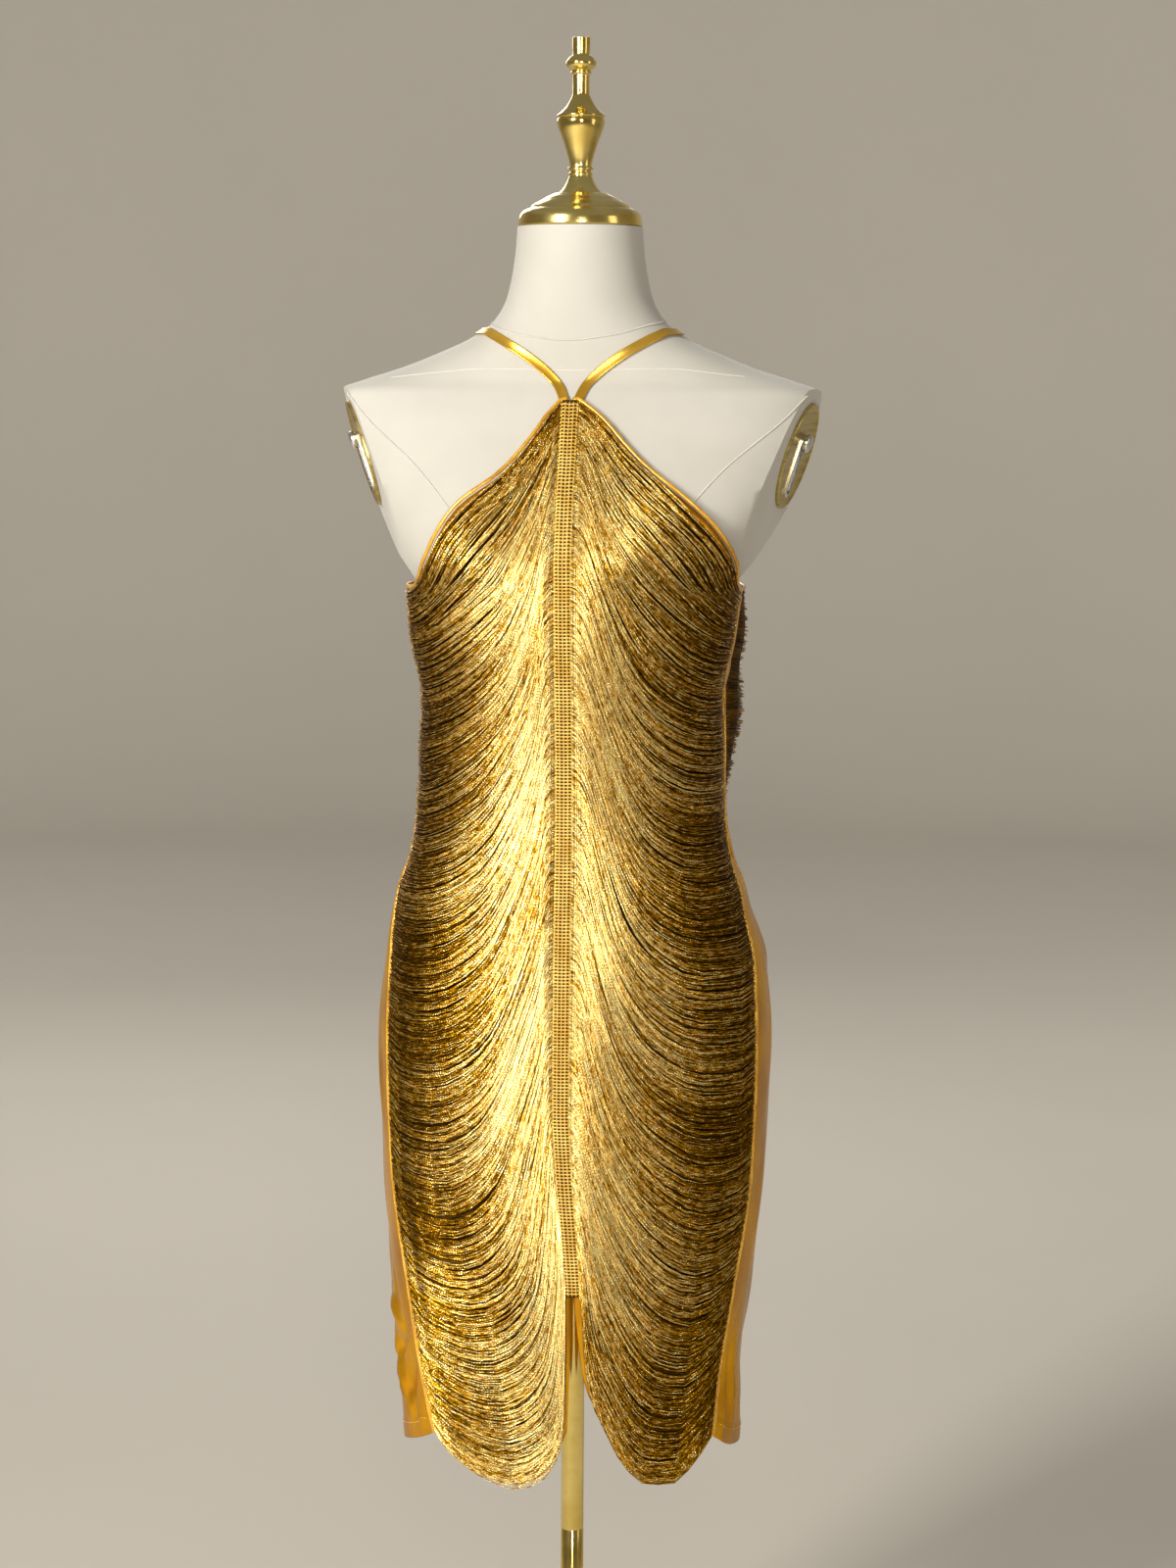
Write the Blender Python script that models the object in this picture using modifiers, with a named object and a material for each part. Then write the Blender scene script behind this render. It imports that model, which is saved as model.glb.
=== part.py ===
"""A loop-fringe halter mini dress on a limbless dress form with a turned neck cap and a round stand.

Metres, +Z up. The front faces -Y and the wearer's left is +X. The origin is the middle of the
stand's underside. An angle on the body is turned about Z from the middle of the front, 0 degrees,
towards the side seam at 90 degrees, and the middle of the back is 180 degrees.
"""

import math
from functools import lru_cache

import bmesh
import bpy
import numpy as np
from mathutils import Matrix, Vector
from mathutils.bvhtree import BVHTree

COLLECTION = "fringe_mini_dress"

GAP = 0.0003  # between pieces that meet
MERGE = 0.00005
WALL = 0.0012  # satin with its turned-in edges
SHARP_ANGLE = math.radians(35)

# The body at each height: half width on the wearer's right (-X), how much narrower the other
# half is, depth in front of and behind the axis, how square the section is (2 is an ellipse), and
# how far the dress stands off. Below FORM_BOTTOM only the dress follows it.
BODY_COLUMNS = ("z", "half_width", "narrower", "front", "back", "square", "ease")
BODY = (
    (0.330, 0.1270, 0.0020, 0.0985, 0.1010, 2.10, 0.0100),
    (0.386, 0.1324, 0.0040, 0.0988, 0.1020, 2.10, 0.0100),
    (0.430, 0.1362, 0.0080, 0.0992, 0.1032, 2.10, 0.0100),
    (0.500, 0.1405, 0.0040, 0.1000, 0.1060, 2.10, 0.0100),
    (0.590, 0.1478, 0.0010, 0.1012, 0.1100, 2.10, 0.0090),
    (0.690, 0.1522, 0.0005, 0.1020, 0.1140, 2.10, 0.0080),
    (0.760, 0.1460, 0.0000, 0.0990, 0.1070, 2.12, 0.0090),
    (0.814, 0.1365, 0.0075, 0.0940, 0.0930, 2.15, 0.0100),
    (0.850, 0.1225, 0.0080, 0.0900, 0.0830, 2.15, 0.0100),
    (0.880, 0.1175, 0.0085, 0.0885, 0.0775, 2.15, 0.0100),
    (0.920, 0.1150, 0.0065, 0.0905, 0.0775, 2.20, 0.0095),
    (0.975, 0.1160, 0.0050, 0.0990, 0.0800, 2.25, 0.0070),
    (1.030, 0.1270, 0.0045, 0.1100, 0.0855, 2.30, 0.0055),
    (1.065, 0.1295, 0.0030, 0.1135, 0.0885, 2.30, 0.0058),
    (1.090, 0.1440, 0.0000, 0.1130, 0.0925, 2.30, 0.0083),
    (1.113, 0.1590, 0.0000, 0.1080, 0.0960, 2.35, 0.0078),
    (1.143, 0.1780, 0.0000, 0.0980, 0.0980, 2.45, 0.0067),
    (1.170, 0.1880, 0.0000, 0.0860, 0.0960, 2.50, 0.0045),
    (1.200, 0.1960, 0.0000, 0.0720, 0.0870, 2.50, 0.0045),
    (1.221, 0.1960, 0.0000, 0.0600, 0.0720, 2.50, 0.0045),
    (1.230, 0.1737, 0.0000, 0.0550, 0.0670, 2.40, 0.0045),
    (1.240, 0.1425, 0.0000, 0.0530, 0.0650, 2.30, 0.0045),
    (1.250, 0.1170, 0.0000, 0.0520, 0.0630, 2.20, 0.0045),
    (1.264, 0.0865, 0.0000, 0.0510, 0.0605, 2.15, 0.0045),
    (1.277, 0.0688, 0.0000, 0.0505, 0.0570, 2.10, 0.0045),
    (1.297, 0.0580, 0.0000, 0.0500, 0.0540, 2.00, 0.0045),
    (1.330, 0.0518, 0.0000, 0.0500, 0.0510, 2.00, 0.0045),
    (1.3515, 0.0500, 0.0000, 0.0495, 0.0495, 2.00, 0.0045),
)

# Steps, in degrees and metres, that give the way the dress's face looks at a point
NORMAL_TURN = 0.5
NORMAL_RISE = 0.004

# The dress form
FORM_BOTTOM = 0.560
FORM_TOP = 1.3515
FORM_SIDES = 24
FORM_RINGS = (
    FORM_BOTTOM, 0.630, 0.690, 0.745, 0.790, 0.830, 0.870, 0.905, 0.945, 0.985, 1.025, 1.050,
    1.069, 1.080, 1.100, 1.125, 1.150, 1.175, 1.200, 1.215, 1.222, 1.229, 1.238, 1.250, 1.264,
    1.277, 1.297, 1.325, FORM_TOP,
)
ARM_TOP_X = 0.1885
ARM_TOP_Z = 1.2165
ARM_BOTTOM_X = 0.1600
ARM_BOTTOM_Z = 1.1270
ARM_TURN = math.radians(14.0)  # the arm ends look that much to the front
ARM_CUT_ABOVE = 1.0750  # they cut nothing below this height
PLATE_HALF_HEIGHT = 0.0440
PLATE_HALF_DEPTH = 0.0340
PLATE_THICKNESS = 0.0025
PLATE_SIDES = 24
KNOB_RADIUS = 0.0075
KNOB_LENGTH = 0.0070
KNOB_DROP = -0.012
KNOB_SIDES = 16

# Neck cap and finial, turned: height above FORM_TOP and radius, top to bottom
CAP_PROFILE = (
    (0.1482, 0.0000), (0.1482, 0.0070), (0.1440, 0.0072), (0.1345, 0.0068), (0.1320, 0.0100),
    (0.1285, 0.0121), (0.1250, 0.0110), (0.1224, 0.0078), (0.1200, 0.0080), (0.1190, 0.0068),
    (0.1033, 0.0070), (0.0935, 0.0125), (0.0875, 0.0187), (0.0812, 0.0188), (0.0700, 0.0150),
    (0.0475, 0.0090), (0.0455, 0.0102), (0.0440, 0.0085), (0.0391, 0.0094), (0.0300, 0.0140),
    (0.0268, 0.0172), (0.0261, 0.0216), (0.0214, 0.0303), (0.0170, 0.0385), (0.0150, 0.0396),
    (0.0114, 0.0470), (0.0045, 0.0494), (0.0012, 0.0496), (GAP, 0.0484), (GAP, 0.0000),
)
CAP_STEPS = 16

# The stand
POLE_RADIUS = 0.0095
POLE_SIDES = 16
COLLAR_RADIUS = 0.0300
COLLAR_HEIGHT = 0.0120
COLLAR_TAPER = 0.6
BASE_RADIUS = 0.1600
BASE_PROFILE = (
    (0.0270, 0.0000), (0.0270, 0.0190), (0.0235, 0.0240), (0.0165, 0.0290), (0.0150, 0.0700),
    (0.0125, 0.1250), (0.0085, 0.1540), (0.0045, BASE_RADIUS), (0.0000, 0.1580), (0.0000, 0.0000),
)
BASE_STEPS = 32

# The dress. Where its fringe ends at the side, in degrees from the middle of the front or back.
# The front's right quarter has the minus_x column, and the other three have plus_x.
SIDE_EDGE_COLUMNS = ("z", "minus_x", "plus_x")
SIDE_EDGE = (
    (0.330, 49.0, 61.5),
    (0.378, 53.7, 63.3),
    (0.420, 58.2, 66.0),
    (0.500, 64.8, 69.8),
    (0.600, 71.2, 73.8),
    (0.700, 72.0, 73.8),
    (0.740, 73.0, 74.5),
    (0.800, 75.5, 77.0),
    (0.835, 79.5, 81.0),
    (0.865, 83.2, 84.0),
    (0.900, 84.6, 85.0),
    (0.940, 83.5, 83.5),
    (0.975, 79.5, 79.5),
    (1.010, 76.5, 76.5),
    (1.040, 77.5, 77.5),
    (1.070, 80.0, 80.0),
    (1.120, 82.0, 82.0),
)
SLIT_TOP = 0.508
CENTRE_DRIFT_COLUMNS = ("z", "x")
CENTRE_DRIFT = (
    (0.330, 0.010), (0.500, 0.010), (0.550, 0.007), (0.600, 0.003), (0.660, 0.0), (1.230, 0.0),
)
SIDE_HEM = 0.356
SIDE_HEM_RISE = 0.0225
UNDERARM = 1.0605
EDGE_SAMPLES = 41  # along the strand that an edge follows
EDGE_ABOVE = 0.003  # how far the satin reaches above the first strands

# Fringe: at this share of the way down the braid, the braid's height is left to reach the side
# edge after this drop. Front and back have a row each of heights and drops.
FRONT_BRAID = (1.2105, SLIT_TOP)
BACK_BRAID = (1.1000, SLIT_TOP)
DROP_COLUMNS = ("share", "front", "back")
DROPS = (
    (0.00, 0.1500, 0.0395),
    (0.06, 0.1500, 0.0620),
    (0.26, 0.1580, 0.1250),
    (0.42, 0.1600, 0.1480),
    (0.61, 0.1575, 0.1540),
    (0.85, 0.1450, 0.1450),
    (1.00, 0.1295, 0.1295),
)
# The path of a strand from the braid to the side edge: at each step along it, the share of the
# way across and the share of the drop. The rows are for strands that leave the braid at
# SWAG_SHARES, and the front's right quarter has the minus_x rows.
SWAG_SHARES = (0.0, 0.06, 0.26, 0.61, 1.0)
SWAG_STEPS = (0.0, 0.03, 0.07, 0.13, 0.22, 0.33, 0.45, 0.57, 0.68, 0.79, 0.90, 1.0)
SWAG_ACROSS = {
    "minus_x": (
        (0.000, 0.042, 0.092, 0.146, 0.223, 0.312, 0.430, 0.502, 0.574, 0.685, 0.829, 1.000),
        (0.000, 0.034, 0.048, 0.067, 0.101, 0.161, 0.249, 0.384, 0.524, 0.675, 0.834, 1.000),
        (0.000, 0.044, 0.072, 0.090, 0.120, 0.181, 0.269, 0.379, 0.515, 0.668, 0.830, 1.000),
        (0.000, 0.048, 0.070, 0.092, 0.139, 0.207, 0.284, 0.385, 0.527, 0.693, 0.857, 1.000),
        (0.000, 0.001, 0.002, 0.003, 0.004, 0.007, 0.030, 0.163, 0.403, 0.650, 0.858, 1.000),
    ),
    "plus_x": (
        (0.000, 0.054, 0.120, 0.195, 0.279, 0.369, 0.463, 0.553, 0.642, 0.738, 0.855, 1.000),
        (0.000, 0.046, 0.074, 0.104, 0.146, 0.209, 0.304, 0.428, 0.554, 0.693, 0.845, 1.000),
        (0.000, 0.042, 0.074, 0.109, 0.156, 0.213, 0.284, 0.382, 0.517, 0.678, 0.843, 1.000),
        (0.000, 0.048, 0.081, 0.113, 0.154, 0.212, 0.291, 0.405, 0.542, 0.690, 0.851, 1.000),
        (0.000, 0.016, 0.022, 0.030, 0.044, 0.087, 0.196, 0.326, 0.500, 0.705, 0.860, 1.000),
    ),
}
SWAG_DROP = {
    "minus_x": (
        (0.000, 0.033, 0.078, 0.153, 0.263, 0.388, 0.520, 0.660, 0.800, 0.922, 0.992, 1.000),
        (0.000, 0.034, 0.092, 0.182, 0.317, 0.482, 0.654, 0.793, 0.897, 0.977, 1.018, 1.022),
        (0.000, 0.023, 0.084, 0.182, 0.329, 0.502, 0.683, 0.852, 0.973, 1.058, 1.098, 1.097),
        (0.000, 0.021, 0.088, 0.191, 0.340, 0.519, 0.715, 0.896, 1.030, 1.096, 1.089, 1.019),
        (0.000, 0.062, 0.145, 0.268, 0.454, 0.681, 0.927, 1.140, 1.229, 1.187, 1.103, 1.000),
    ),
    "plus_x": (
        (0.000, 0.027, 0.063, 0.125, 0.228, 0.348, 0.471, 0.601, 0.728, 0.850, 0.947, 1.000),
        (0.000, 0.018, 0.069, 0.153, 0.284, 0.434, 0.585, 0.723, 0.836, 0.924, 0.970, 0.976),
        (0.000, 0.024, 0.080, 0.171, 0.307, 0.475, 0.656, 0.820, 0.936, 0.997, 1.000, 0.984),
        (0.000, 0.022, 0.083, 0.181, 0.330, 0.510, 0.700, 0.868, 0.993, 1.076, 1.087, 1.040),
        (0.000, 0.056, 0.135, 0.252, 0.428, 0.640, 0.854, 1.061, 1.205, 1.225, 1.110, 1.000),
    ),
}
LOCKS = 22  # on each quarter of the dress
LOCK_SHARE = 0.78  # of the space between one lock's top edge and the next one's
LOCK_STEPS = (0.0, 0.06, 0.16, 0.28, 0.41, 0.55, 0.70, 0.86, 1.0)
LOCK_INNER = 0.0053
LOCK_OUTER = 0.0076
LOCK_END_INNER = 0.0018
LOCK_END_OUTER = 0.0038
# The back's fringe stands away from the body under the arm: how far, at this share of the way
# down the braid, on the wearer's left.
BULGE_COLUMNS = ("share", "out")
BULGE = ((0.00, 0.009), (0.04, 0.023), (0.09, 0.025), (0.14, 0.013), (0.19, 0.0))
BULGE_ON_RIGHT = 0.24  # of that
BULGE_POWER = 6  # the higher, the nearer its crest is to the side edge
BRAID_HALF_WIDTH = 0.0058
BRAID_INNER = 0.0022
BRAID_OUTER = 0.0060
PIPING_RADIUS = 0.0017
FRINGE_STOP = PIPING_RADIUS + 5 * GAP  # how far short of the side edge the fringe ends
BINDING_OUT = 0.0008  # the bound edge's middle from the satin's outer face
PANEL_ROWS = 23
PANEL_ACROSS = (0.0, 0.03, 0.10, 0.20, 0.32, 0.46, 0.60, 0.74, 0.88, 1.0)
SIDE_COLUMNS = 4
SATIN_INSIDE = 0.93  # the satin's lobes end at this share of the fringe's drop

# Halter strap: the right half of its route along the form, from the neckline to the nape
STRAP_WIDTH = 0.0075
STRAP_THICKNESS = 0.0010
STRAP_LIFT = 0.0018
STRAP_STEPS = 46
STRAP_ROUTE = (
    (0.0085, -0.072, 1.2185), (0.0118, -0.067, 1.2245), (0.0234, -0.062, 1.2360),
    (0.0380, -0.057, 1.2470), (0.0520, -0.049, 1.2565), (0.0650, -0.038, 1.2640),
    (0.0760, -0.024, 1.2680), (0.0835, -0.006, 1.2680), (0.0800, 0.016, 1.2680),
    (0.0640, 0.038, 1.2690), (0.0360, 0.054, 1.2690), (0.0, 0.060, 1.2690),
)

COLOURS = {
    "cover": ((0.83, 0.80, 0.70), 0.85, 0.0),
    "cap": ((0.80, 0.58, 0.12), 0.18, 1.0),
    "steel": ((0.60, 0.60, 0.58), 0.30, 1.0),
    "satin": ((0.62, 0.34, 0.06), 0.40, 0.0),
    "fringe": ((0.66, 0.44, 0.08), 0.38, 0.0),
    "trim": ((0.70, 0.42, 0.08), 0.40, 0.0),
}


def clear_scene():
    for thing in list(bpy.data.objects):
        bpy.data.objects.remove(thing, do_unlink=True)


def material(name):
    """A plain material of the named colour, made once."""
    found = bpy.data.materials.get(name)
    if found:
        return found
    colour, roughness, metallic = COLOURS[name]
    made = bpy.data.materials.new(name)
    made.use_nodes = True
    shader = made.node_tree.nodes["Principled BSDF"]
    shader.inputs["Base Color"].default_value = (*colour, 1.0)
    shader.inputs["Roughness"].default_value = roughness
    shader.inputs["Metallic"].default_value = metallic
    return made


def smooth_between(places, values, at):
    """A smooth curve through a table's values, with no overshoot between its rows."""
    if at <= places[0]:
        return values[0]
    if at >= places[-1]:
        return values[-1]
    i = int(np.searchsorted(places, at, side="right")) - 1
    steps = np.diff(places)
    slopes = np.diff(values) / steps

    def tangent(k):
        if k == 0 or k == len(places) - 1:
            return slopes[0] if k == 0 else slopes[-1]
        before, after = slopes[k - 1], slopes[k]
        return 0.0 if before * after <= 0 else 2 * before * after / (before + after)

    t = (at - places[i]) / steps[i]
    return float(
        (2 * t**3 - 3 * t**2 + 1) * values[i]
        + (t**3 - 2 * t**2 + t) * steps[i] * tangent(i)
        + (3 * t**2 - 2 * t**3) * values[i + 1]
        + (t**3 - t**2) * steps[i] * tangent(i + 1)
    )


def column(table, columns, name):
    return np.array([row[columns.index(name)] for row in table])


BODY_Z = column(BODY, BODY_COLUMNS, "z")
BODY_VALUES = {name: column(BODY, BODY_COLUMNS, name) for name in BODY_COLUMNS[1:]}
EDGE_Z = column(SIDE_EDGE, SIDE_EDGE_COLUMNS, "z")
EDGE_DEGREES = {name: column(SIDE_EDGE, SIDE_EDGE_COLUMNS, name) for name in SIDE_EDGE_COLUMNS[1:]}
DRIFT_Z = column(CENTRE_DRIFT, CENTRE_DRIFT_COLUMNS, "z")
DRIFT_X = column(CENTRE_DRIFT, CENTRE_DRIFT_COLUMNS, "x")
DROP_SHARE = column(DROPS, DROP_COLUMNS, "share")
BULGE_SHARE = column(BULGE, BULGE_COLUMNS, "share")
BULGE_OUT = column(BULGE, BULGE_COLUMNS, "out")


@lru_cache(maxsize=None)
def section(z):
    """The body's sizes at a height, in the order of its table's columns after the height."""
    return tuple(smooth_between(BODY_Z, BODY_VALUES[name], z) for name in BODY_COLUMNS[1:])


def body_point(degrees, z, off=0.0):
    """A point of the body's section at a height, off metres outside it."""
    half_width, narrower, front, back, square, _ = section(z)
    angle = math.radians(degrees)
    side, fore = math.sin(angle), math.cos(angle)
    depth = (front if fore > 0 else back) + off
    across = half_width - (narrower if side > 0 else 0.0) + off
    radius = (abs(side / across) ** square + abs(fore / depth) ** square) ** (-1 / square)
    return Vector((radius * side, -radius * fore, z))


def dress_base(degrees, z):
    """A point of the satin's outer face."""
    return body_point(degrees, z, section(z)[-1] + WALL)


def dress_point(degrees, z, out=0.0):
    """A point that lies out metres off the satin's outer face, square to it."""
    place = dress_base(degrees, z)
    if out == 0.0:
        return place
    turn, rise = NORMAL_TURN, NORMAL_RISE
    along = dress_base(degrees + turn, z) - dress_base(degrees - turn, z)
    up = dress_base(degrees, z + rise) - dress_base(degrees, z - rise)
    return place + along.cross(up).normalized() * out


def degrees_at_x(x, z, back):
    """The angle where the dress crosses a small distance x from its middle plane."""
    depth = abs(dress_base(180.0 if back else 0.0, z).y)
    return math.degrees(math.atan2(x, depth))


@lru_cache(maxsize=None)
def side_edge(z, lobe):
    return smooth_between(EDGE_Z, EDGE_DEGREES[lobe], z)


class Quarter:
    """One quarter of the dress: the front or the back, on the wearer's left (+X) or right."""

    def __init__(self, back, at_plus_x):
        self.back = back
        self.sign = 1 if at_plus_x else -1
        self.lobe = "plus_x" if at_plus_x or back else "minus_x"
        self.name = ("back_" if back else "front_") + ("left" if at_plus_x else "right")
        self.braid = BACK_BRAID if back else FRONT_BRAID
        self.drops = column(DROPS, DROP_COLUMNS, "back" if back else "front")

    def middle_x(self, z):
        return 0.0 if self.back else smooth_between(DRIFT_Z, DRIFT_X, z)

    def angle(self, from_middle):
        """Turns an angle measured from this quarter's middle into one about the body."""
        return self.sign * ((180.0 - from_middle) if self.back else from_middle)

    def middle(self, z, aside):
        """The angle, from the quarter's middle plane, that lies aside metres past the centre line."""
        x = self.sign * self.middle_x(z) + aside
        return degrees_at_x(x, z, self.back)

    def point(self, from_middle, z, out=0.0):
        return dress_point(self.angle(from_middle), z, out)

    def braid_z(self, share):
        return self.braid[0] + (self.braid[1] - self.braid[0]) * share

    def swag(self, share, t):
        """Where a strand runs: the share across and the height, at t from 0 to 1 along it."""
        steps = np.array(SWAG_STEPS)
        rows_across = [smooth_between(steps, np.array(r), t) for r in SWAG_ACROSS[self.lobe]]
        rows_drop = [smooth_between(steps, np.array(r), t) for r in SWAG_DROP[self.lobe]]
        places = np.array(SWAG_SHARES)
        across = smooth_between(places, np.array(rows_across), share)
        drop = smooth_between(places, np.array(rows_drop), share)
        height = smooth_between(DROP_SHARE, self.drops, share)
        return across, self.braid_z(share) - drop * height

    def bulge(self, share, t):
        """How much further out a strand stands than the rest of the fringe."""
        if not self.back:
            return 0.0
        most = smooth_between(BULGE_SHARE, BULGE_OUT, share)
        most *= 1.0 if self.sign > 0 else BULGE_ON_RIGHT
        return most * math.sin(math.pi * t**BULGE_POWER)

    def strand(self, share, t, out, start, stop):
        """A point of a strand between start metres off the centre line and stop short of the edge."""
        across, z = self.swag(share, t)
        first = self.middle(z, start)
        edge = side_edge(z, self.lobe)
        last = edge - math.degrees(stop / self.point(edge, z).xy.length)
        return self.point(first + (last - first) * across, z, out + self.bulge(share, t))


QUARTERS = [Quarter(back, at_plus_x) for back in (False, True) for at_plus_x in (False, True)]


def link(thing, colour, collection):
    collection.objects.link(thing)
    thing.data.materials.append(material(colour))
    return thing


def mesh_object(name, points, faces, colour, collection, smooth=True):
    mesh = bpy.data.meshes.new(name)
    mesh.from_pydata([tuple(p) for p in points], [], faces)
    thing = bpy.data.objects.new(name, mesh)
    if smooth:
        mesh.shade_smooth()
        mesh.set_sharp_from_angle(angle=SHARP_ANGLE)
    return link(thing, colour, collection)


def tube(name, route, radius, colour, collection):
    """A thin cord along a route, with closed ends."""
    curve = bpy.data.curves.new(name, "CURVE")
    curve.dimensions = "3D"
    curve.bevel_depth = radius
    curve.bevel_resolution = 0
    curve.use_fill_caps = True
    spline = curve.splines.new("POLY")
    spline.points.add(len(route) - 1)
    for point, place in zip(spline.points, route):
        point.co = (*place, 1.0)
    return link(bpy.data.objects.new(name, curve), colour, collection)


def turned(name, profile, base_z, steps, colour, collection):
    """A profile of height and radius, top to bottom, turned about Z."""
    mesh = bpy.data.meshes.new(name)
    points = [(radius, 0.0, base_z + height) for height, radius in profile]
    mesh.from_pydata(points, [(i, i + 1) for i in range(len(points) - 1)], [])
    thing = link(bpy.data.objects.new(name, mesh), colour, collection)
    screw = thing.modifiers.new("turn", "SCREW")
    screw.axis = "Z"
    screw.steps = steps
    screw.render_steps = steps
    screw.use_merge_vertices = True
    screw.merge_threshold = MERGE
    screw.use_smooth_shade = True
    return thing


def sheet_faces(rows, columns, flip):
    faces = []
    for i in range(rows - 1):
        for j in range(columns - 1):
            a, b = i * columns + j, i * columns + j + 1
            c, d = b + columns, a + columns
            faces.append((a, d, c, b) if flip else (a, b, c, d))
    return faces


def cloth_wall(name, outer, inner, flip, colour, collection):
    """A closed wall between two grids of points, the outer and the inner face of a cloth. Both
    faces split their quads along the same diagonal, so twisted ones keep the wall's thickness."""
    rows, columns = len(outer), len(outer[0])
    count = rows * columns
    points = [p for row in outer for p in row] + [p for row in inner for p in row]
    faces = sheet_faces(rows, columns, flip)
    faces += [(a + count, d + count, c + count, b + count) for a, b, c, d in faces]
    rim = list(range(columns))
    rim += [i * columns + columns - 1 for i in range(1, rows)]
    rim += [(rows - 1) * columns + j for j in range(columns - 2, -1, -1)]
    rim += [i * columns for i in range(rows - 2, 0, -1)]
    for k, a in enumerate(rim):
        b = rim[(k + 1) % len(rim)]
        side = (a, a + count, b + count, b)
        faces.append(tuple(reversed(side)) if flip else side)
    return mesh_object(name, points, faces, colour, collection)


def form_body(collection):
    """The covered form: rings from hip to neck, with the two arm ends cut flat."""
    points, faces = [], []
    for z in FORM_RINGS:
        points += [body_point(360.0 * k / FORM_SIDES, z) for k in range(FORM_SIDES)]
    for ring in range(len(FORM_RINGS) - 1):
        for k in range(FORM_SIDES):
            a, b = ring * FORM_SIDES + k, ring * FORM_SIDES + (k + 1) % FORM_SIDES
            faces.append((a, b, b + FORM_SIDES, a + FORM_SIDES))
    faces.append(tuple(range(FORM_SIDES - 1, -1, -1)))
    top = (len(FORM_RINGS) - 1) * FORM_SIDES
    faces.append(tuple(range(top, top + FORM_SIDES)))
    thing = mesh_object("dress_form_body", points, faces, "cover", collection)
    body = bmesh.new()
    body.from_mesh(thing.data)
    for side in (-1, 1):
        place, normal = arm_plane(side)
        high = [f for f in body.faces if min(v.co.z for v in f.verts) > ARM_CUT_ABOVE]
        whole = high + list({e for f in high for e in f.edges} | {v for f in high for v in f.verts})
        cut = bmesh.ops.bisect_plane(
            body, geom=whole, plane_co=place, plane_no=normal, clear_outer=True
        )
        rim = [e for e in cut["geom_cut"] if isinstance(e, bmesh.types.BMEdge)]
        bmesh.ops.contextual_create(body, geom=rim)
    bmesh.ops.recalc_face_normals(body, faces=body.faces[:])
    bmesh.ops.triangulate(body, faces=[f for f in body.faces if len(f.verts) > 4])
    body.to_mesh(thing.data)
    body.free()
    return thing


def arm_plane(side):
    """A point on an arm end and the way it faces."""
    place = Vector((side * ARM_TOP_X, 0.0, ARM_TOP_Z))
    down = Vector((side * (ARM_BOTTOM_X - ARM_TOP_X), 0.0, ARM_BOTTOM_Z - ARM_TOP_Z))
    normal = Vector((-down.z * side, 0.0, down.x * side))
    normal = (normal if normal.x * side > 0 else -normal).normalized()
    return place, normal * math.cos(ARM_TURN) + Vector((0.0, -math.sin(ARM_TURN), 0.0))


def disc(name, sides, radii, thickness, centre, down, normal, colour, collection):
    """An oval plate, its first radius along down, whose underside stands GAP off a plane."""
    plate = bmesh.new()
    bmesh.ops.create_cone(
        plate, cap_ends=True, segments=sides, radius1=1.0, radius2=1.0, depth=thickness
    )
    bmesh.ops.scale(plate, vec=(radii[0], radii[1], 1.0), verts=plate.verts[:])
    mesh = bpy.data.meshes.new(name)
    plate.to_mesh(mesh)
    plate.free()
    mesh.shade_smooth()
    mesh.set_sharp_from_angle(angle=SHARP_ANGLE)
    thing = link(bpy.data.objects.new(name, mesh), colour, collection)
    turn = Matrix((down, normal.cross(down), normal)).transposed().to_4x4()
    thing.matrix_basis = Matrix.Translation(centre + normal * (GAP + thickness / 2)) @ turn
    return thing


def arm_end(side, collection):
    """The oval plate on an arm end and the knob of its fitting."""
    word = "left" if side > 0 else "right"
    top, normal = arm_plane(side)
    bottom = Vector((side * ARM_BOTTOM_X, 0.0, ARM_BOTTOM_Z))
    centre = (top + bottom) / 2
    down = (bottom - top).normalized()
    sizes = (PLATE_HALF_HEIGHT, PLATE_HALF_DEPTH)
    plate = (f"arm_plate_{word}", PLATE_SIDES, sizes, PLATE_THICKNESS, centre)
    disc(*plate, down, normal, "cap", collection)
    seat = centre + normal * (GAP + PLATE_THICKNESS) + down * KNOB_DROP
    sizes = (KNOB_RADIUS, KNOB_RADIUS)
    knob = (f"arm_knob_{word}", KNOB_SIDES, sizes, KNOB_LENGTH, seat)
    disc(*knob, down, normal, "steel", collection)


def stand(collection):
    collar_bottom = FORM_BOTTOM - GAP - COLLAR_HEIGHT
    turned(
        "form_collar",
        (
            (COLLAR_HEIGHT, 0.0),
            (COLLAR_HEIGHT, COLLAR_RADIUS),
            (COLLAR_HEIGHT * COLLAR_TAPER, COLLAR_RADIUS),
            (0.0, COLLAR_RADIUS * COLLAR_TAPER),
            (0.0, 0.0),
        ),
        collar_bottom,
        POLE_SIDES,
        "cap",
        collection,
    )
    base_top = BASE_PROFILE[0][0]
    pole_length = collar_bottom - base_top - 2 * GAP
    turned(
        "form_pole",
        ((pole_length, 0.0), (pole_length, POLE_RADIUS), (0.0, POLE_RADIUS), (0.0, 0.0)),
        base_top + GAP,
        POLE_SIDES,
        "cap",
        collection,
    )
    turned("form_base", BASE_PROFILE, 0.0, BASE_STEPS, "cap", collection)


def top_edge_z(quarter, from_middle):
    """The height of the panel's top edge at an angle: just above the first strand."""
    places, heights = [], []
    for t in np.linspace(0.0, 1.0, EDGE_SAMPLES):
        across, z = quarter.swag(0.0, t)
        first = quarter.middle(z, BRAID_HALF_WIDTH)
        places.append(first + (side_edge(z, quarter.lobe) - first) * across)
        heights.append(z + EDGE_ABOVE)
    return float(np.interp(from_middle, places, heights))


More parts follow.
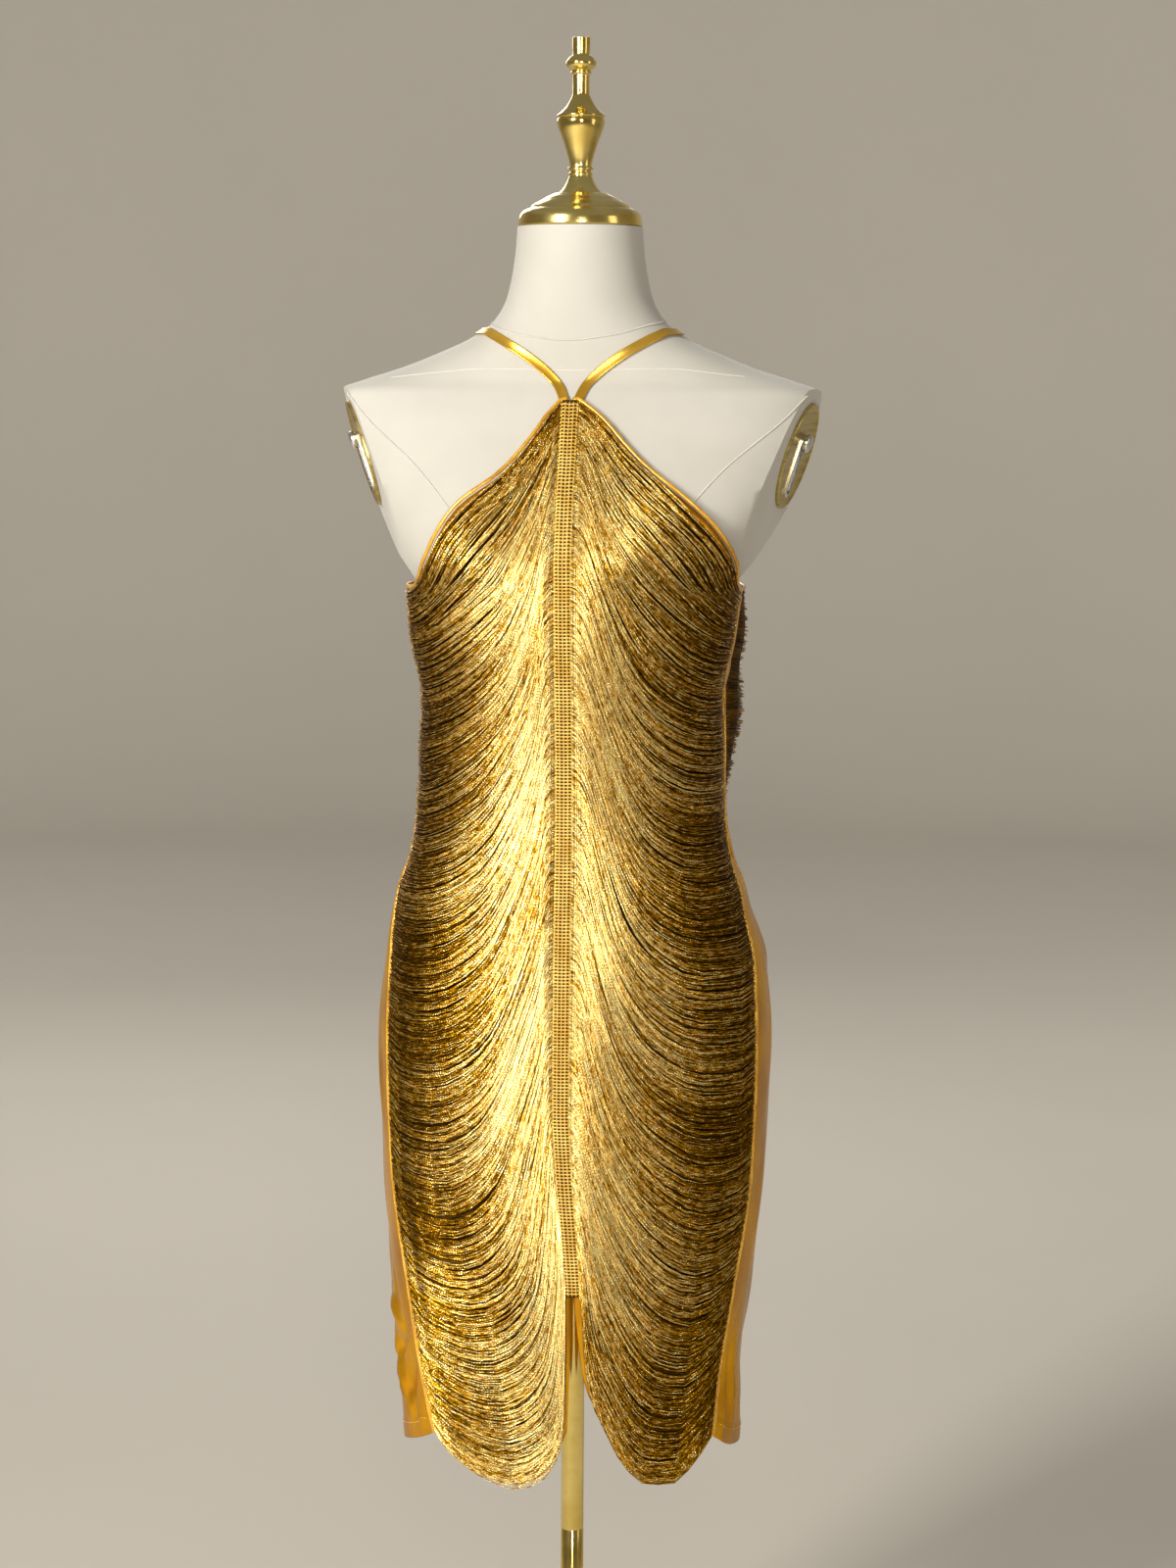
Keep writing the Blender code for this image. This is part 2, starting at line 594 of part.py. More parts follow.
def hem_z(quarter, across):
    """The height of the satin's lower edge, inside the fringe's lobe and meeting the side hem."""
    places, heights = [], []
    for t in np.linspace(0.0, 1.0, EDGE_SAMPLES):
        share, z = quarter.swag(1.0, t)
        places.append(share)
        heights.append(SLIT_TOP - (SLIT_TOP - z) * (SATIN_INSIDE + (1 - SATIN_INSIDE) * share**3))
    return float(np.interp(across, places, heights))


def panel_place(quarter, across, row):
    """The angle from the quarter's middle and the height of a point of its satin panel."""
    low = hem_z(quarter, across)
    high = top_edge_z(quarter, across * side_edge(UNDERARM, quarter.lobe))
    z = low + (high - low) * row / PANEL_ROWS
    first = quarter.middle(z, GAP / 2)
    edge = side_edge(z, quarter.lobe)
    last = edge - math.degrees(GAP / 2 / quarter.point(edge, z).xy.length)
    return first + (last - first) * across, z


def side_place(sign, across, row):
    """The angle from the front and the height of a point of a side panel. across is -1 at the
    panel's front edge and 1 at its back edge."""
    low = SIDE_HEM + SIDE_HEM_RISE * across**2
    z = low + (UNDERARM + EDGE_ABOVE - low) * row / PANEL_ROWS
    edge = side_edge(z, "minus_x" if sign < 0 and across < 0 else "plus_x")
    edge += math.degrees(GAP / 2 / dress_base(edge, z).xy.length)
    return 90.0 + (90.0 - edge) * across, z


def quarter_panel(quarter, collection):
    """The satin under one quarter's fringe, from the centre seam and the slit to the side edge."""
    places = [
        [panel_place(quarter, across, row) for across in PANEL_ACROSS]
        for row in range(PANEL_ROWS + 1)
    ]
    outer = [[quarter.point(*place) for place in row] for row in places]
    inner = [[quarter.point(*place, -WALL) for place in row] for row in places]
    flip = (quarter.sign < 0) != quarter.back
    return cloth_wall(f"panel_{quarter.name}", outer, inner, flip, "satin", collection)


def side_panel(sign, collection):
    """The plain satin between the front and back fringe edges."""
    places = [
        [side_place(sign, 2.0 * j / SIDE_COLUMNS - 1.0, row) for j in range(SIDE_COLUMNS + 1)]
        for row in range(PANEL_ROWS + 1)
    ]
    outer = [[dress_point(sign * a, z) for a, z in row] for row in places]
    inner = [[dress_point(sign * a, z, -WALL) for a, z in row] for row in places]
    word = "left" if sign > 0 else "right"
    return cloth_wall(f"panel_side_{word}", outer, inner, sign < 0, "satin", collection)


def neck_binding(sign, collection):
    """The bound edge from the front's top, along the neckline and under the arm to the back."""
    front, back = (q for q in QUARTERS if q.sign == sign)
    places = [panel_place(front, across, PANEL_ROWS) for across in PANEL_ACROSS]
    inside = range(1, SIDE_COLUMNS)
    places += [side_place(sign, 2.0 * j / SIDE_COLUMNS - 1.0, PANEL_ROWS) for j in inside]
    rear = [panel_place(back, across, PANEL_ROWS) for across in reversed(PANEL_ACROSS)]
    places += [(180.0 - angle, z) for angle, z in rear]
    line = [dress_point(sign * angle, z, BINDING_OUT) for angle, z in places]
    under = [dress_point(sign * angle, z, BINDING_OUT - WALL) for angle, z in places]
    route = []
    for i, place in enumerate(line):
        ahead = line[min(i + 1, len(line) - 1)] - line[max(i - 1, 0)]
        away = (place - under[i]).cross(ahead).normalized() * -sign
        away = away if away.z > 0 else -away
        route.append(place + away * (PIPING_RADIUS + 2 * GAP))
    for end in (0, -1):
        middle = abs(route[end].x - front.middle_x(route[end].z))
        route[end].x += sign * max(0.0, PIPING_RADIUS + GAP - middle)
    word = "left" if sign > 0 else "right"
    return tube(f"neck_binding_{word}", route, PIPING_RADIUS, "trim", collection)


def piping(quarter, collection):
    """The cord sewn over the seam along the fringe's side edge."""
    heights = [panel_place(quarter, 1.0, row)[1] for row in range(PANEL_ROWS)]
    heights.append(UNDERARM - EDGE_ABOVE)
    out = PIPING_RADIUS + 2 * GAP
    route = [quarter.point(side_edge(z, quarter.lobe), z, out) for z in heights]
    return tube(f"piping_{quarter.name}", route, PIPING_RADIUS, "trim", collection)


def fringe(quarter, collection):
    """A narrow braid strip down the centre with the locks that swing from it to the side edge."""
    pitch = 1.0 / LOCKS
    shares = [0.0]
    for i in range(LOCKS):
        shares += [(i + (1 - LOCK_SHARE) / 2) * pitch, (i + (1 + LOCK_SHARE) / 2) * pitch]
    shares.append(1.0)
    points, faces = [], []
    for share in shares:
        z = quarter.braid_z(share)
        near, far = quarter.middle(z, GAP / 2), quarter.middle(z, BRAID_HALF_WIDTH)
        points += [
            quarter.point(near, z, BRAID_INNER),
            quarter.point(near, z, BRAID_OUTER),
            quarter.point(far, z, BRAID_OUTER),
            quarter.point(far, z, BRAID_INNER),
        ]
    for k in range(len(shares) - 1):
        a = 4 * k
        locked = k % 2 == 1
        sides = (0, 1, 3) if locked else (0, 1, 2, 3)
        for s in sides:
            t = (s + 1) % 4
            faces.append((a + s, a + t, a + t + 4, a + s + 4))
        if not locked:
            continue
        ring = [a + 3, a + 2, a + 6, a + 7]
        for along in LOCK_STEPS[1:]:
            start = len(points)
            ended = along == LOCK_STEPS[-1]
            inner, outer = (
                (LOCK_END_INNER, LOCK_END_OUTER) if ended else (LOCK_INNER, LOCK_OUTER)
            )
            for share, out in (
                (shares[k], inner),
                (shares[k], outer),
                (shares[k + 1], outer),
                (shares[k + 1], inner),
            ):
                points.append(quarter.strand(share, along, out, BRAID_HALF_WIDTH, FRINGE_STOP))
            new = [start, start + 1, start + 2, start + 3]
            for s in range(4):
                t = (s + 1) % 4
                faces.append((ring[t], ring[s], new[s], new[t]))
            ring = new
        faces.append(tuple(ring[::-1]))
    last = 4 * (len(shares) - 1)
    faces.append((3, 2, 1, 0))
    faces.append((last, last + 1, last + 2, last + 3))
    thing = mesh_object(f"fringe_{quarter.name}", points, faces, "fringe", collection, False)
    turned_out = bmesh.new()
    turned_out.from_mesh(thing.data)
    bmesh.ops.recalc_face_normals(turned_out, faces=turned_out.faces[:])
    turned_out.to_mesh(thing.data)
    turned_out.free()
    return thing


def strap_route():
    """The whole route, from one end at the neckline round the nape to the other."""
    half = [Vector(p) for p in STRAP_ROUTE]
    whole = [Vector((-p.x, p.y, p.z)) for p in half[:-1]] + half[::-1]
    places = np.linspace(0.0, 1.0, len(whole))
    return [
        Vector(
            tuple(
                smooth_between(places, np.array([p[axis] for p in whole]), t) for axis in range(3)
            )
        )
        for t in np.linspace(0.0, 1.0, STRAP_STEPS + 1)
    ]


def halter_strap(form, collection):
    """A flat ribbon laid on the form from the neckline round the nape and back."""
    tree = BVHTree.FromPolygons(
        [v.co for v in form.data.vertices], [tuple(f.vertices) for f in form.data.polygons]
    )
    route = strap_route()
    grid = []
    for i, place in enumerate(route):
        ahead = route[min(i + 1, len(route) - 1)] - route[max(i - 1, 0)]
        seat, normal, _, _ = tree.find_nearest(place)
        across = ahead.cross(normal).normalized()
        row = []
        for side in (-0.5, 0.5):
            edge = seat + across * (side * STRAP_WIDTH)
            foot, outwards, _, _ = tree.find_nearest(edge)
            lean = (normal + outwards).normalized()
            row.append(foot + lean * (STRAP_LIFT + STRAP_THICKNESS))
        grid.append(row)
    points = [p for row in grid for p in row]
    faces = sheet_faces(len(grid), 2, False)
    thing = mesh_object("halter_strap", points, faces, "trim", collection)
    wall = thing.modifiers.new("wall", "SOLIDIFY")
    wall.thickness = STRAP_THICKNESS
    wall.offset = -1.0
    return thing


def build():
    clear_scene()
    collection = bpy.data.collections.new(COLLECTION)
    bpy.context.scene.collection.children.link(collection)
    form = form_body(collection)
    turned("neck_cap_finial", CAP_PROFILE, FORM_TOP, CAP_STEPS, "cap", collection)
    for side in (-1, 1):
        arm_end(side, collection)
    stand(collection)
    for quarter in QUARTERS:
        quarter_panel(quarter, collection)
        piping(quarter, collection)
        fringe(quarter, collection)
    for sign in (-1, 1):
        side_panel(sign, collection)
        neck_binding(sign, collection)
    halter_strap(form, collection)


build()
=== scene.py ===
"""The looks of a loop-fringe halter mini dress on a limbless dress form.

Metres, +Z up, front at -Y, the wearer's left at +X. An angle on the body is 0 at the middle of
the front, 90 at the side seam and 180 at the middle of the back.
"""

import math

import bmesh
import bpy
import numpy as np
from mathutils import Euler, Matrix, Vector


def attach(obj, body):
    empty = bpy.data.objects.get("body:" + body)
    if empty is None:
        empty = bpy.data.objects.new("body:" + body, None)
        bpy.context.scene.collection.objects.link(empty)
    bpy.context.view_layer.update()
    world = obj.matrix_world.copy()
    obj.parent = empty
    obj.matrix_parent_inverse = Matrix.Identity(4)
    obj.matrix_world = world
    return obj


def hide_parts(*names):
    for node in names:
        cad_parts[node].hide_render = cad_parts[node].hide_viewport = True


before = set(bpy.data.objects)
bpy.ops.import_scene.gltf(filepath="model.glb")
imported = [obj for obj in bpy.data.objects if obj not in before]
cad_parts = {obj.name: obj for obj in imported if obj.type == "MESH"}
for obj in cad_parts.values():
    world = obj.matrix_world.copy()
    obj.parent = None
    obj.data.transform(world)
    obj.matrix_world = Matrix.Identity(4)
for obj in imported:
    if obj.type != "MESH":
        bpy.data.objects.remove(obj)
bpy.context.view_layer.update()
rng = np.random.default_rng(41)

WORD = {-1: "right", 1: "left"}

# The dress's measures, as in the solids

WALL = 0.0012
GAP = 0.0003
BODY_COLUMNS = ("z", "half_width", "narrower", "front", "back", "square", "ease")
BODY = np.array((
    (0.330, 0.1270, 0.0020, 0.0985, 0.1010, 2.10, 0.0100),
    (0.386, 0.1324, 0.0040, 0.0988, 0.1020, 2.10, 0.0100),
    (0.430, 0.1362, 0.0080, 0.0992, 0.1032, 2.10, 0.0100),
    (0.500, 0.1405, 0.0040, 0.1000, 0.1060, 2.10, 0.0100),
    (0.590, 0.1478, 0.0010, 0.1012, 0.1100, 2.10, 0.0090),
    (0.690, 0.1522, 0.0005, 0.1020, 0.1140, 2.10, 0.0080),
    (0.760, 0.1460, 0.0000, 0.0990, 0.1070, 2.12, 0.0090),
    (0.814, 0.1365, 0.0075, 0.0940, 0.0930, 2.15, 0.0100),
    (0.850, 0.1225, 0.0080, 0.0900, 0.0830, 2.15, 0.0100),
    (0.880, 0.1175, 0.0085, 0.0885, 0.0775, 2.15, 0.0100),
    (0.920, 0.1150, 0.0065, 0.0905, 0.0775, 2.20, 0.0095),
    (0.975, 0.1160, 0.0050, 0.0990, 0.0800, 2.25, 0.0070),
    (1.030, 0.1270, 0.0045, 0.1100, 0.0855, 2.30, 0.0055),
    (1.065, 0.1295, 0.0030, 0.1135, 0.0885, 2.30, 0.0058),
    (1.090, 0.1440, 0.0000, 0.1130, 0.0925, 2.30, 0.0083),
    (1.113, 0.1590, 0.0000, 0.1080, 0.0960, 2.35, 0.0078),
    (1.143, 0.1780, 0.0000, 0.0980, 0.0980, 2.45, 0.0067),
    (1.170, 0.1880, 0.0000, 0.0860, 0.0960, 2.50, 0.0045),
    (1.200, 0.1960, 0.0000, 0.0720, 0.0870, 2.50, 0.0045),
    (1.221, 0.1960, 0.0000, 0.0600, 0.0720, 2.50, 0.0045),
    (1.230, 0.1737, 0.0000, 0.0550, 0.0670, 2.40, 0.0045),
    (1.240, 0.1425, 0.0000, 0.0530, 0.0650, 2.30, 0.0045),
    (1.250, 0.1170, 0.0000, 0.0520, 0.0630, 2.20, 0.0045),
    (1.264, 0.0865, 0.0000, 0.0510, 0.0605, 2.15, 0.0045),
    (1.277, 0.0688, 0.0000, 0.0505, 0.0570, 2.10, 0.0045),
    (1.297, 0.0580, 0.0000, 0.0500, 0.0540, 2.00, 0.0045),
    (1.330, 0.0518, 0.0000, 0.0500, 0.0510, 2.00, 0.0045),
    (1.3515, 0.0500, 0.0000, 0.0495, 0.0495, 2.00, 0.0045),
))
FORM_BOTTOM = 0.560
FORM_TOP = 1.3515
ARM_TOP = (0.1885, 1.2165)
ARM_BOTTOM = (0.1600, 1.1270)
ARM_TURN = math.radians(14.0)
ARM_CUT_ABOVE = 1.0750
SIDE_EDGE = np.array((
    (0.330, 49.0, 61.5),
    (0.378, 53.7, 63.3),
    (0.420, 58.2, 66.0),
    (0.500, 64.8, 69.8),
    (0.600, 71.2, 73.8),
    (0.700, 72.0, 73.8),
    (0.740, 73.0, 74.5),
    (0.800, 75.5, 77.0),
    (0.835, 79.5, 81.0),
    (0.865, 83.2, 84.0),
    (0.900, 84.6, 85.0),
    (0.940, 83.5, 83.5),
    (0.975, 79.5, 79.5),
    (1.010, 76.5, 76.5),
    (1.040, 77.5, 77.5),
    (1.070, 80.0, 80.0),
    (1.120, 82.0, 82.0),
))
SLIT_TOP = 0.508
CENTRE_DRIFT = np.array((
    (0.330, 0.010), (0.500, 0.010), (0.550, 0.007), (0.600, 0.003), (0.660, 0.0), (1.230, 0.0),
))
SIDE_HEM = 0.356
SIDE_HEM_RISE = 0.0225
UNDERARM = 1.0605
EDGE_ABOVE = 0.003
SATIN_INSIDE = 0.93
FRONT_BRAID = (1.2105, SLIT_TOP)
BACK_BRAID = (1.1000, SLIT_TOP)
DROP_COLUMNS = ("share", "front", "back")
DROPS = np.array((
    (0.00, 0.1500, 0.0395), (0.06, 0.1500, 0.0620), (0.26, 0.1580, 0.1250),
    (0.42, 0.1600, 0.1480), (0.61, 0.1575, 0.1540), (0.85, 0.1450, 0.1450),
    (1.00, 0.1295, 0.1295),
))
SWAG_SHARES = np.array((0.0, 0.06, 0.26, 0.61, 1.0))
SWAG_STEPS = np.array((0.0, 0.03, 0.07, 0.13, 0.22, 0.33, 0.45, 0.57, 0.68, 0.79, 0.90, 1.0))
SWAG_ACROSS = {
    -1: np.array((
        (0.000, 0.042, 0.092, 0.146, 0.223, 0.312, 0.430, 0.502, 0.574, 0.685, 0.829, 1.000),
        (0.000, 0.034, 0.048, 0.067, 0.101, 0.161, 0.249, 0.384, 0.524, 0.675, 0.834, 1.000),
        (0.000, 0.044, 0.072, 0.090, 0.120, 0.181, 0.269, 0.379, 0.515, 0.668, 0.830, 1.000),
        (0.000, 0.048, 0.070, 0.092, 0.139, 0.207, 0.284, 0.385, 0.527, 0.693, 0.857, 1.000),
        (0.000, 0.001, 0.002, 0.003, 0.004, 0.007, 0.030, 0.163, 0.403, 0.650, 0.858, 1.000),
    )),
    1: np.array((
        (0.000, 0.054, 0.120, 0.195, 0.279, 0.369, 0.463, 0.553, 0.642, 0.738, 0.855, 1.000),
        (0.000, 0.046, 0.074, 0.104, 0.146, 0.209, 0.304, 0.428, 0.554, 0.693, 0.845, 1.000),
        (0.000, 0.042, 0.074, 0.109, 0.156, 0.213, 0.284, 0.382, 0.517, 0.678, 0.843, 1.000),
        (0.000, 0.048, 0.081, 0.113, 0.154, 0.212, 0.291, 0.405, 0.542, 0.690, 0.851, 1.000),
        (0.000, 0.016, 0.022, 0.030, 0.044, 0.087, 0.196, 0.326, 0.500, 0.705, 0.860, 1.000),
    )),
}
SWAG_DROP = {
    -1: np.array((
        (0.000, 0.033, 0.078, 0.153, 0.263, 0.388, 0.520, 0.660, 0.800, 0.922, 0.992, 1.000),
        (0.000, 0.034, 0.092, 0.182, 0.317, 0.482, 0.654, 0.793, 0.897, 0.977, 1.018, 1.022),
        (0.000, 0.023, 0.084, 0.182, 0.329, 0.502, 0.683, 0.852, 0.973, 1.058, 1.098, 1.097),
        (0.000, 0.021, 0.088, 0.191, 0.340, 0.519, 0.715, 0.896, 1.030, 1.096, 1.089, 1.019),
        (0.000, 0.062, 0.145, 0.268, 0.454, 0.681, 0.927, 1.140, 1.229, 1.187, 1.103, 1.000),
    )),
    1: np.array((
        (0.000, 0.027, 0.063, 0.125, 0.228, 0.348, 0.471, 0.601, 0.728, 0.850, 0.947, 1.000),
        (0.000, 0.018, 0.069, 0.153, 0.284, 0.434, 0.585, 0.723, 0.836, 0.924, 0.970, 0.976),
        (0.000, 0.024, 0.080, 0.171, 0.307, 0.475, 0.656, 0.820, 0.936, 0.997, 1.000, 0.984),
        (0.000, 0.022, 0.083, 0.181, 0.330, 0.510, 0.700, 0.868, 0.993, 1.076, 1.087, 1.040),
        (0.000, 0.056, 0.135, 0.252, 0.428, 0.640, 0.854, 1.061, 1.205, 1.225, 1.110, 1.000),
    )),
}
BULGE = np.array(((0.00, 0.009), (0.04, 0.023), (0.09, 0.025), (0.14, 0.013), (0.19, 0.0)))
BULGE_ON_RIGHT = 0.24
BULGE_POWER = 6
BRAID_HALF_WIDTH = 0.0058
BRAID_PITCH = 0.0027
CHAIN_LINK = 0.0027
CHAIN_LINE = 0.0031
HEM_TURN = 0.0155
HEM_STITCHES = 0.0135
# Threads in each fringe field, and points along each
THREADS = {"front": (1380, 20), "back": (920, 15)}
PIPING_RADIUS = 0.0017
FRINGE_STOP = PIPING_RADIUS + 5 * GAP
TOP_CLEARANCE = -0.0030
STRAP_WIDTH = 0.0075
STRAP_ROUTE = np.array((
    (0.0050, -0.076, 1.2105), (0.0068, -0.074, 1.2150), (0.0085, -0.072, 1.2185),
    (0.0118, -0.067, 1.2245), (0.0234, -0.062, 1.2360),
    (0.0380, -0.057, 1.2470), (0.0520, -0.049, 1.2565), (0.0650, -0.038, 1.2640),
    (0.0760, -0.024, 1.2680), (0.0835, -0.006, 1.2680), (0.0800, 0.016, 1.2680),
    (0.0640, 0.038, 1.2690), (0.0360, 0.054, 1.2690), (0.0, 0.060, 1.2690),
))


def curve(places, values, at):
    """A smooth curve through a table's values, with no overshoot. values is one column, or one
    column for each point."""
    at = np.clip(np.asarray(at, float), places[0], places[-1])
    flat = at.reshape(-1)
    steps = np.diff(places)
    own = values.ndim == 2
    slopes = np.diff(values, axis=0) / (steps[:, None] if own else steps)
    before, after = slopes[:-1], slopes[1:]
    total = np.where(np.abs(before + after) < 1e-12, 1.0, before + after)
    mean = np.where(before * after > 0, 2 * before * after / total, 0.0)
    tangents = np.concatenate([slopes[:1], mean, slopes[-1:]])
    i = np.clip(np.searchsorted(places, flat, side="right") - 1, 0, len(steps) - 1)
    t = (flat - places[i]) / steps[i]
    every = np.arange(len(flat))

    def pick(table, k):
        return table[k, every] if own else table[k]

    made = (
        (2 * t**3 - 3 * t**2 + 1) * pick(values, i)
        + (t**3 - 2 * t**2 + t) * steps[i] * pick(tangents, i)
        + (3 * t**2 - 2 * t**3) * pick(values, i + 1)
        + (t**3 - t**2) * steps[i] * pick(tangents, i + 1)
    )
    return made.reshape(at.shape)


def unit(vectors):
    return vectors / np.linalg.norm(vectors, axis=-1, keepdims=True)


def body_value(name, z):
    return curve(BODY[:, 0], BODY[:, BODY_COLUMNS.index(name)], z)


def body_point(degrees, z, off=0.0):
    degrees, z, off = np.broadcast_arrays(*(np.asarray(v, float) for v in (degrees, z, off)))
    angle = np.radians(degrees)
    side, fore = np.sin(angle), np.cos(angle)
    depth = np.where(fore > 0, body_value("front", z), body_value("back", z)) + off
    across = body_value("half_width", z) - np.where(side > 0, body_value("narrower", z), 0.0) + off
    power = body_value("square", z)
    radius = (np.abs(side / across) ** power + np.abs(fore / depth) ** power) ** (-1 / power)
    return np.stack([radius * side, -radius * fore, z], axis=-1)


def body_face(degrees, z, dressed=True):
    """Points and outward directions of the form's face, or of the satin's outer face."""
    degrees, z = np.broadcast_arrays(np.asarray(degrees, float), np.asarray(z, float))

    def place(d, h):
        return body_point(d, h, body_value("ease", h) + WALL if dressed else 0.0)

    turn, rise = 0.5, 0.004 if dressed else 0.002
    along = place(degrees + turn, z) - place(degrees - turn, z)
    up = place(degrees, z + rise) - place(degrees, z - rise)
    return place(degrees, z), unit(np.cross(along, up))


def turn_for(metres, degrees, z):
    """The turn about Z, in degrees, that a distance along the dress makes at this point."""
    return np.degrees(metres / np.linalg.norm(body_face(degrees, z)[0][..., :2], axis=-1))


def side_edge(z, lobe):
    """Where the fringe ends at a height: lobe is -1 for the front's right quarter, or else 1."""
    return curve(SIDE_EDGE[:, 0], SIDE_EDGE[:, 1 if lobe < 0 else 2], z)


class Quarter:
    """One quarter of the dress: front or back, at +X (sign 1) or -X."""

    def __init__(self, back, sign):
        self.back = back
        self.sign = sign
        self.lobe = 1 if back else sign
        self.name = ("back_" if back else "front_") + WORD[sign]
        self.braid = BACK_BRAID if back else FRONT_BRAID
        self.drops = DROPS[:, DROP_COLUMNS.index("back" if back else "front")]
        self.flip = (sign < 0) != back

    def middle_x(self, z):
        return np.zeros_like(z) if self.back else curve(CENTRE_DRIFT[:, 0], CENTRE_DRIFT[:, 1], z)

    def angle(self, from_middle):
        return self.sign * (180.0 - from_middle if self.back else from_middle)

    def middle(self, z, aside):
        z = np.asarray(z, float)
        depth = np.abs(body_face(180.0 if self.back else 0.0, z)[0][..., 1])
        return np.degrees(np.arctan2(self.sign * self.middle_x(z) + aside, depth))

    def beside(self, aside, z):
        """The satin's face, and the way out, at a distance beside the middle line."""
        return body_face(self.angle(self.middle(z, aside)), z)

    def swag(self, share, t):
        share, t = np.broadcast_arrays(np.asarray(share, float), np.asarray(t, float))
        flat = t.reshape(-1)
        across = np.stack([curve(SWAG_STEPS, row, flat) for row in SWAG_ACROSS[self.lobe]])
        drop = np.stack([curve(SWAG_STEPS, row, flat) for row in SWAG_DROP[self.lobe]])
        places = share.reshape(-1)
        across = curve(SWAG_SHARES, across, places).reshape(t.shape)
        drop = curve(SWAG_SHARES, drop, places).reshape(t.shape)
        height = curve(DROPS[:, 0], self.drops, share)
        return across, self.braid[0] + (self.braid[1] - self.braid[0]) * share - drop * height

    def bulge(self, share, t):
        if not self.back:
            return np.zeros(np.broadcast(share, t).shape)
        most = curve(BULGE[:, 0], BULGE[:, 1], share) * (1.0 if self.sign > 0 else BULGE_ON_RIGHT)
        return most * np.sin(math.pi * t**BULGE_POWER)

    def strand(self, share, t, out, start, stop, lower=0.0):
        """Points along strands, and the way out there. lower moves a point down the dress."""
        across, z = self.swag(share, t)
        z = z - lower
        first = self.middle(z, start)
        edge = side_edge(z, self.lobe)
        last = edge - turn_for(stop, self.angle(edge), z)
        place, away = body_face(self.angle(first + (last - first) * across), z)
        return place + away * (out + self.bulge(share, t))[..., None], away


QUARTERS = [Quarter(back, sign) for back in (False, True) for sign in (-1, 1)]

# Meshes


def run(place):
    """Distance along a line of points."""
    return np.concatenate([[0], np.cumsum(np.linalg.norm(np.diff(place, axis=0), axis=1))])


def along_line(at, length, values):
    """Values at these distances along a line, from the values at its points."""
    return np.stack([np.interp(at, length, values[:, i]) for i in range(3)], axis=-1)


def grid_faces(rows, columns, flip=False, closed=False):
    """Quads between a grid's neighbours. closed joins the last column to the first."""
    index = np.arange(rows * columns).reshape(rows, columns)
    if closed:
        index = np.hstack([index, index[:, :1]])
    a, b, c, d = index[:-1, :-1], index[:-1, 1:], index[1:, 1:], index[1:, :-1]
    order = [a, d, c, b] if flip else [a, b, c, d]
    return np.stack(order, axis=-1).reshape(-1, 4)


def mesh_piece(name, points, faces, material, uvs=None):
    """A mesh from arrays. uvs holds, by map name, a pair for each corner of each face."""
    mesh = bpy.data.meshes.new(name)
    points = np.asarray(points, np.float32).reshape(-1, 3)
    faces = np.asarray(faces, np.int32)
    mesh.vertices.add(len(points))
    mesh.vertices.foreach_set("co", points.ravel())
    mesh.loops.add(faces.size)
    mesh.loops.foreach_set("vertex_index", faces.ravel())
    mesh.polygons.add(len(faces))
    mesh.polygons.foreach_set("loop_start", np.arange(0, faces.size, faces.shape[1], np.int32))
    for key, pairs in (uvs or {}).items():
        layer = mesh.uv_layers.new(name=key)
        layer.data.foreach_set("uv", np.asarray(pairs, np.float32).ravel())
    mesh.update(calc_edges=True)
    mesh.shade_smooth()
    mesh.validate()
    thing = bpy.data.objects.new(name, mesh)
    bpy.context.scene.collection.objects.link(thing)
    mesh.materials.append(material)
    return thing


def cords(name, paths, away, radius, sides, material, tone=None):
    """Thin cords as one mesh. paths and away are (cords, steps, 3)."""
    count, steps, _ = paths.shape
    radius = np.broadcast_to(np.asarray(radius, float), (count, steps))
    along = np.gradient(paths, axis=1)
    along /= np.maximum(np.linalg.norm(along, axis=-1, keepdims=True), 1e-9)
    side = np.cross(along, away)
    side /= np.maximum(np.linalg.norm(side, axis=-1, keepdims=True), 1e-9)
    up = np.cross(side, along)
    turn = 2 * math.pi * np.arange(sides) / sides + math.pi / 2
    ring = (
        np.cos(turn)[:, None] * side[:, :, None, :] + np.sin(turn)[:, None] * up[:, :, None, :]
    )
    points = paths[:, :, None, :] + ring * radius[:, :, None, None]
    index = np.arange(count * steps * sides).reshape(count, steps, sides)
    a = index[:, :-1]
    b = np.roll(a, -1, axis=2)
    d = index[:, 1:]
    c = np.roll(d, -1, axis=2)
    faces = np.stack([a, d, c, b], axis=-1).reshape(-1, 4)
    jumps = np.linalg.norm(np.diff(paths, axis=1), axis=-1)
    length = np.concatenate([np.zeros((count, 1)), np.cumsum(jumps, axis=1)], axis=1)
    u0 = np.broadcast_to(length[:, :-1, None], a.shape)
    u1 = np.broadcast_to(length[:, 1:, None], a.shape)
    v0 = np.broadcast_to(np.arange(sides) / sides, a.shape)
    v1 = v0 + 1.0 / sides
    corners = ((u0, v0), (u1, v0), (u1, v1), (u0, v1))
    thread = np.stack([np.stack(pair, -1) for pair in corners], axis=-2)
    uvs = {"thread": thread * (100.0, 1.0)}
    if tone is not None:
        number = np.broadcast_to(np.arange(count)[:, None, None] / count, a.shape)
        first = np.broadcast_to(tone[:, :-1, None], a.shape)
        second = np.broadcast_to(tone[:, 1:, None], a.shape)
        pair = [np.stack([v, number], -1) for v in (first, second, second, first)]
        uvs["tone"] = np.stack(pair, axis=-2)
    return mesh_piece(name, points, faces, material, uvs)


def walled(thing, thick, offset):
    wall = thing.modifiers.new("wall", "SOLIDIFY")
    wall.thickness = thick
    wall.offset = offset
    return thing


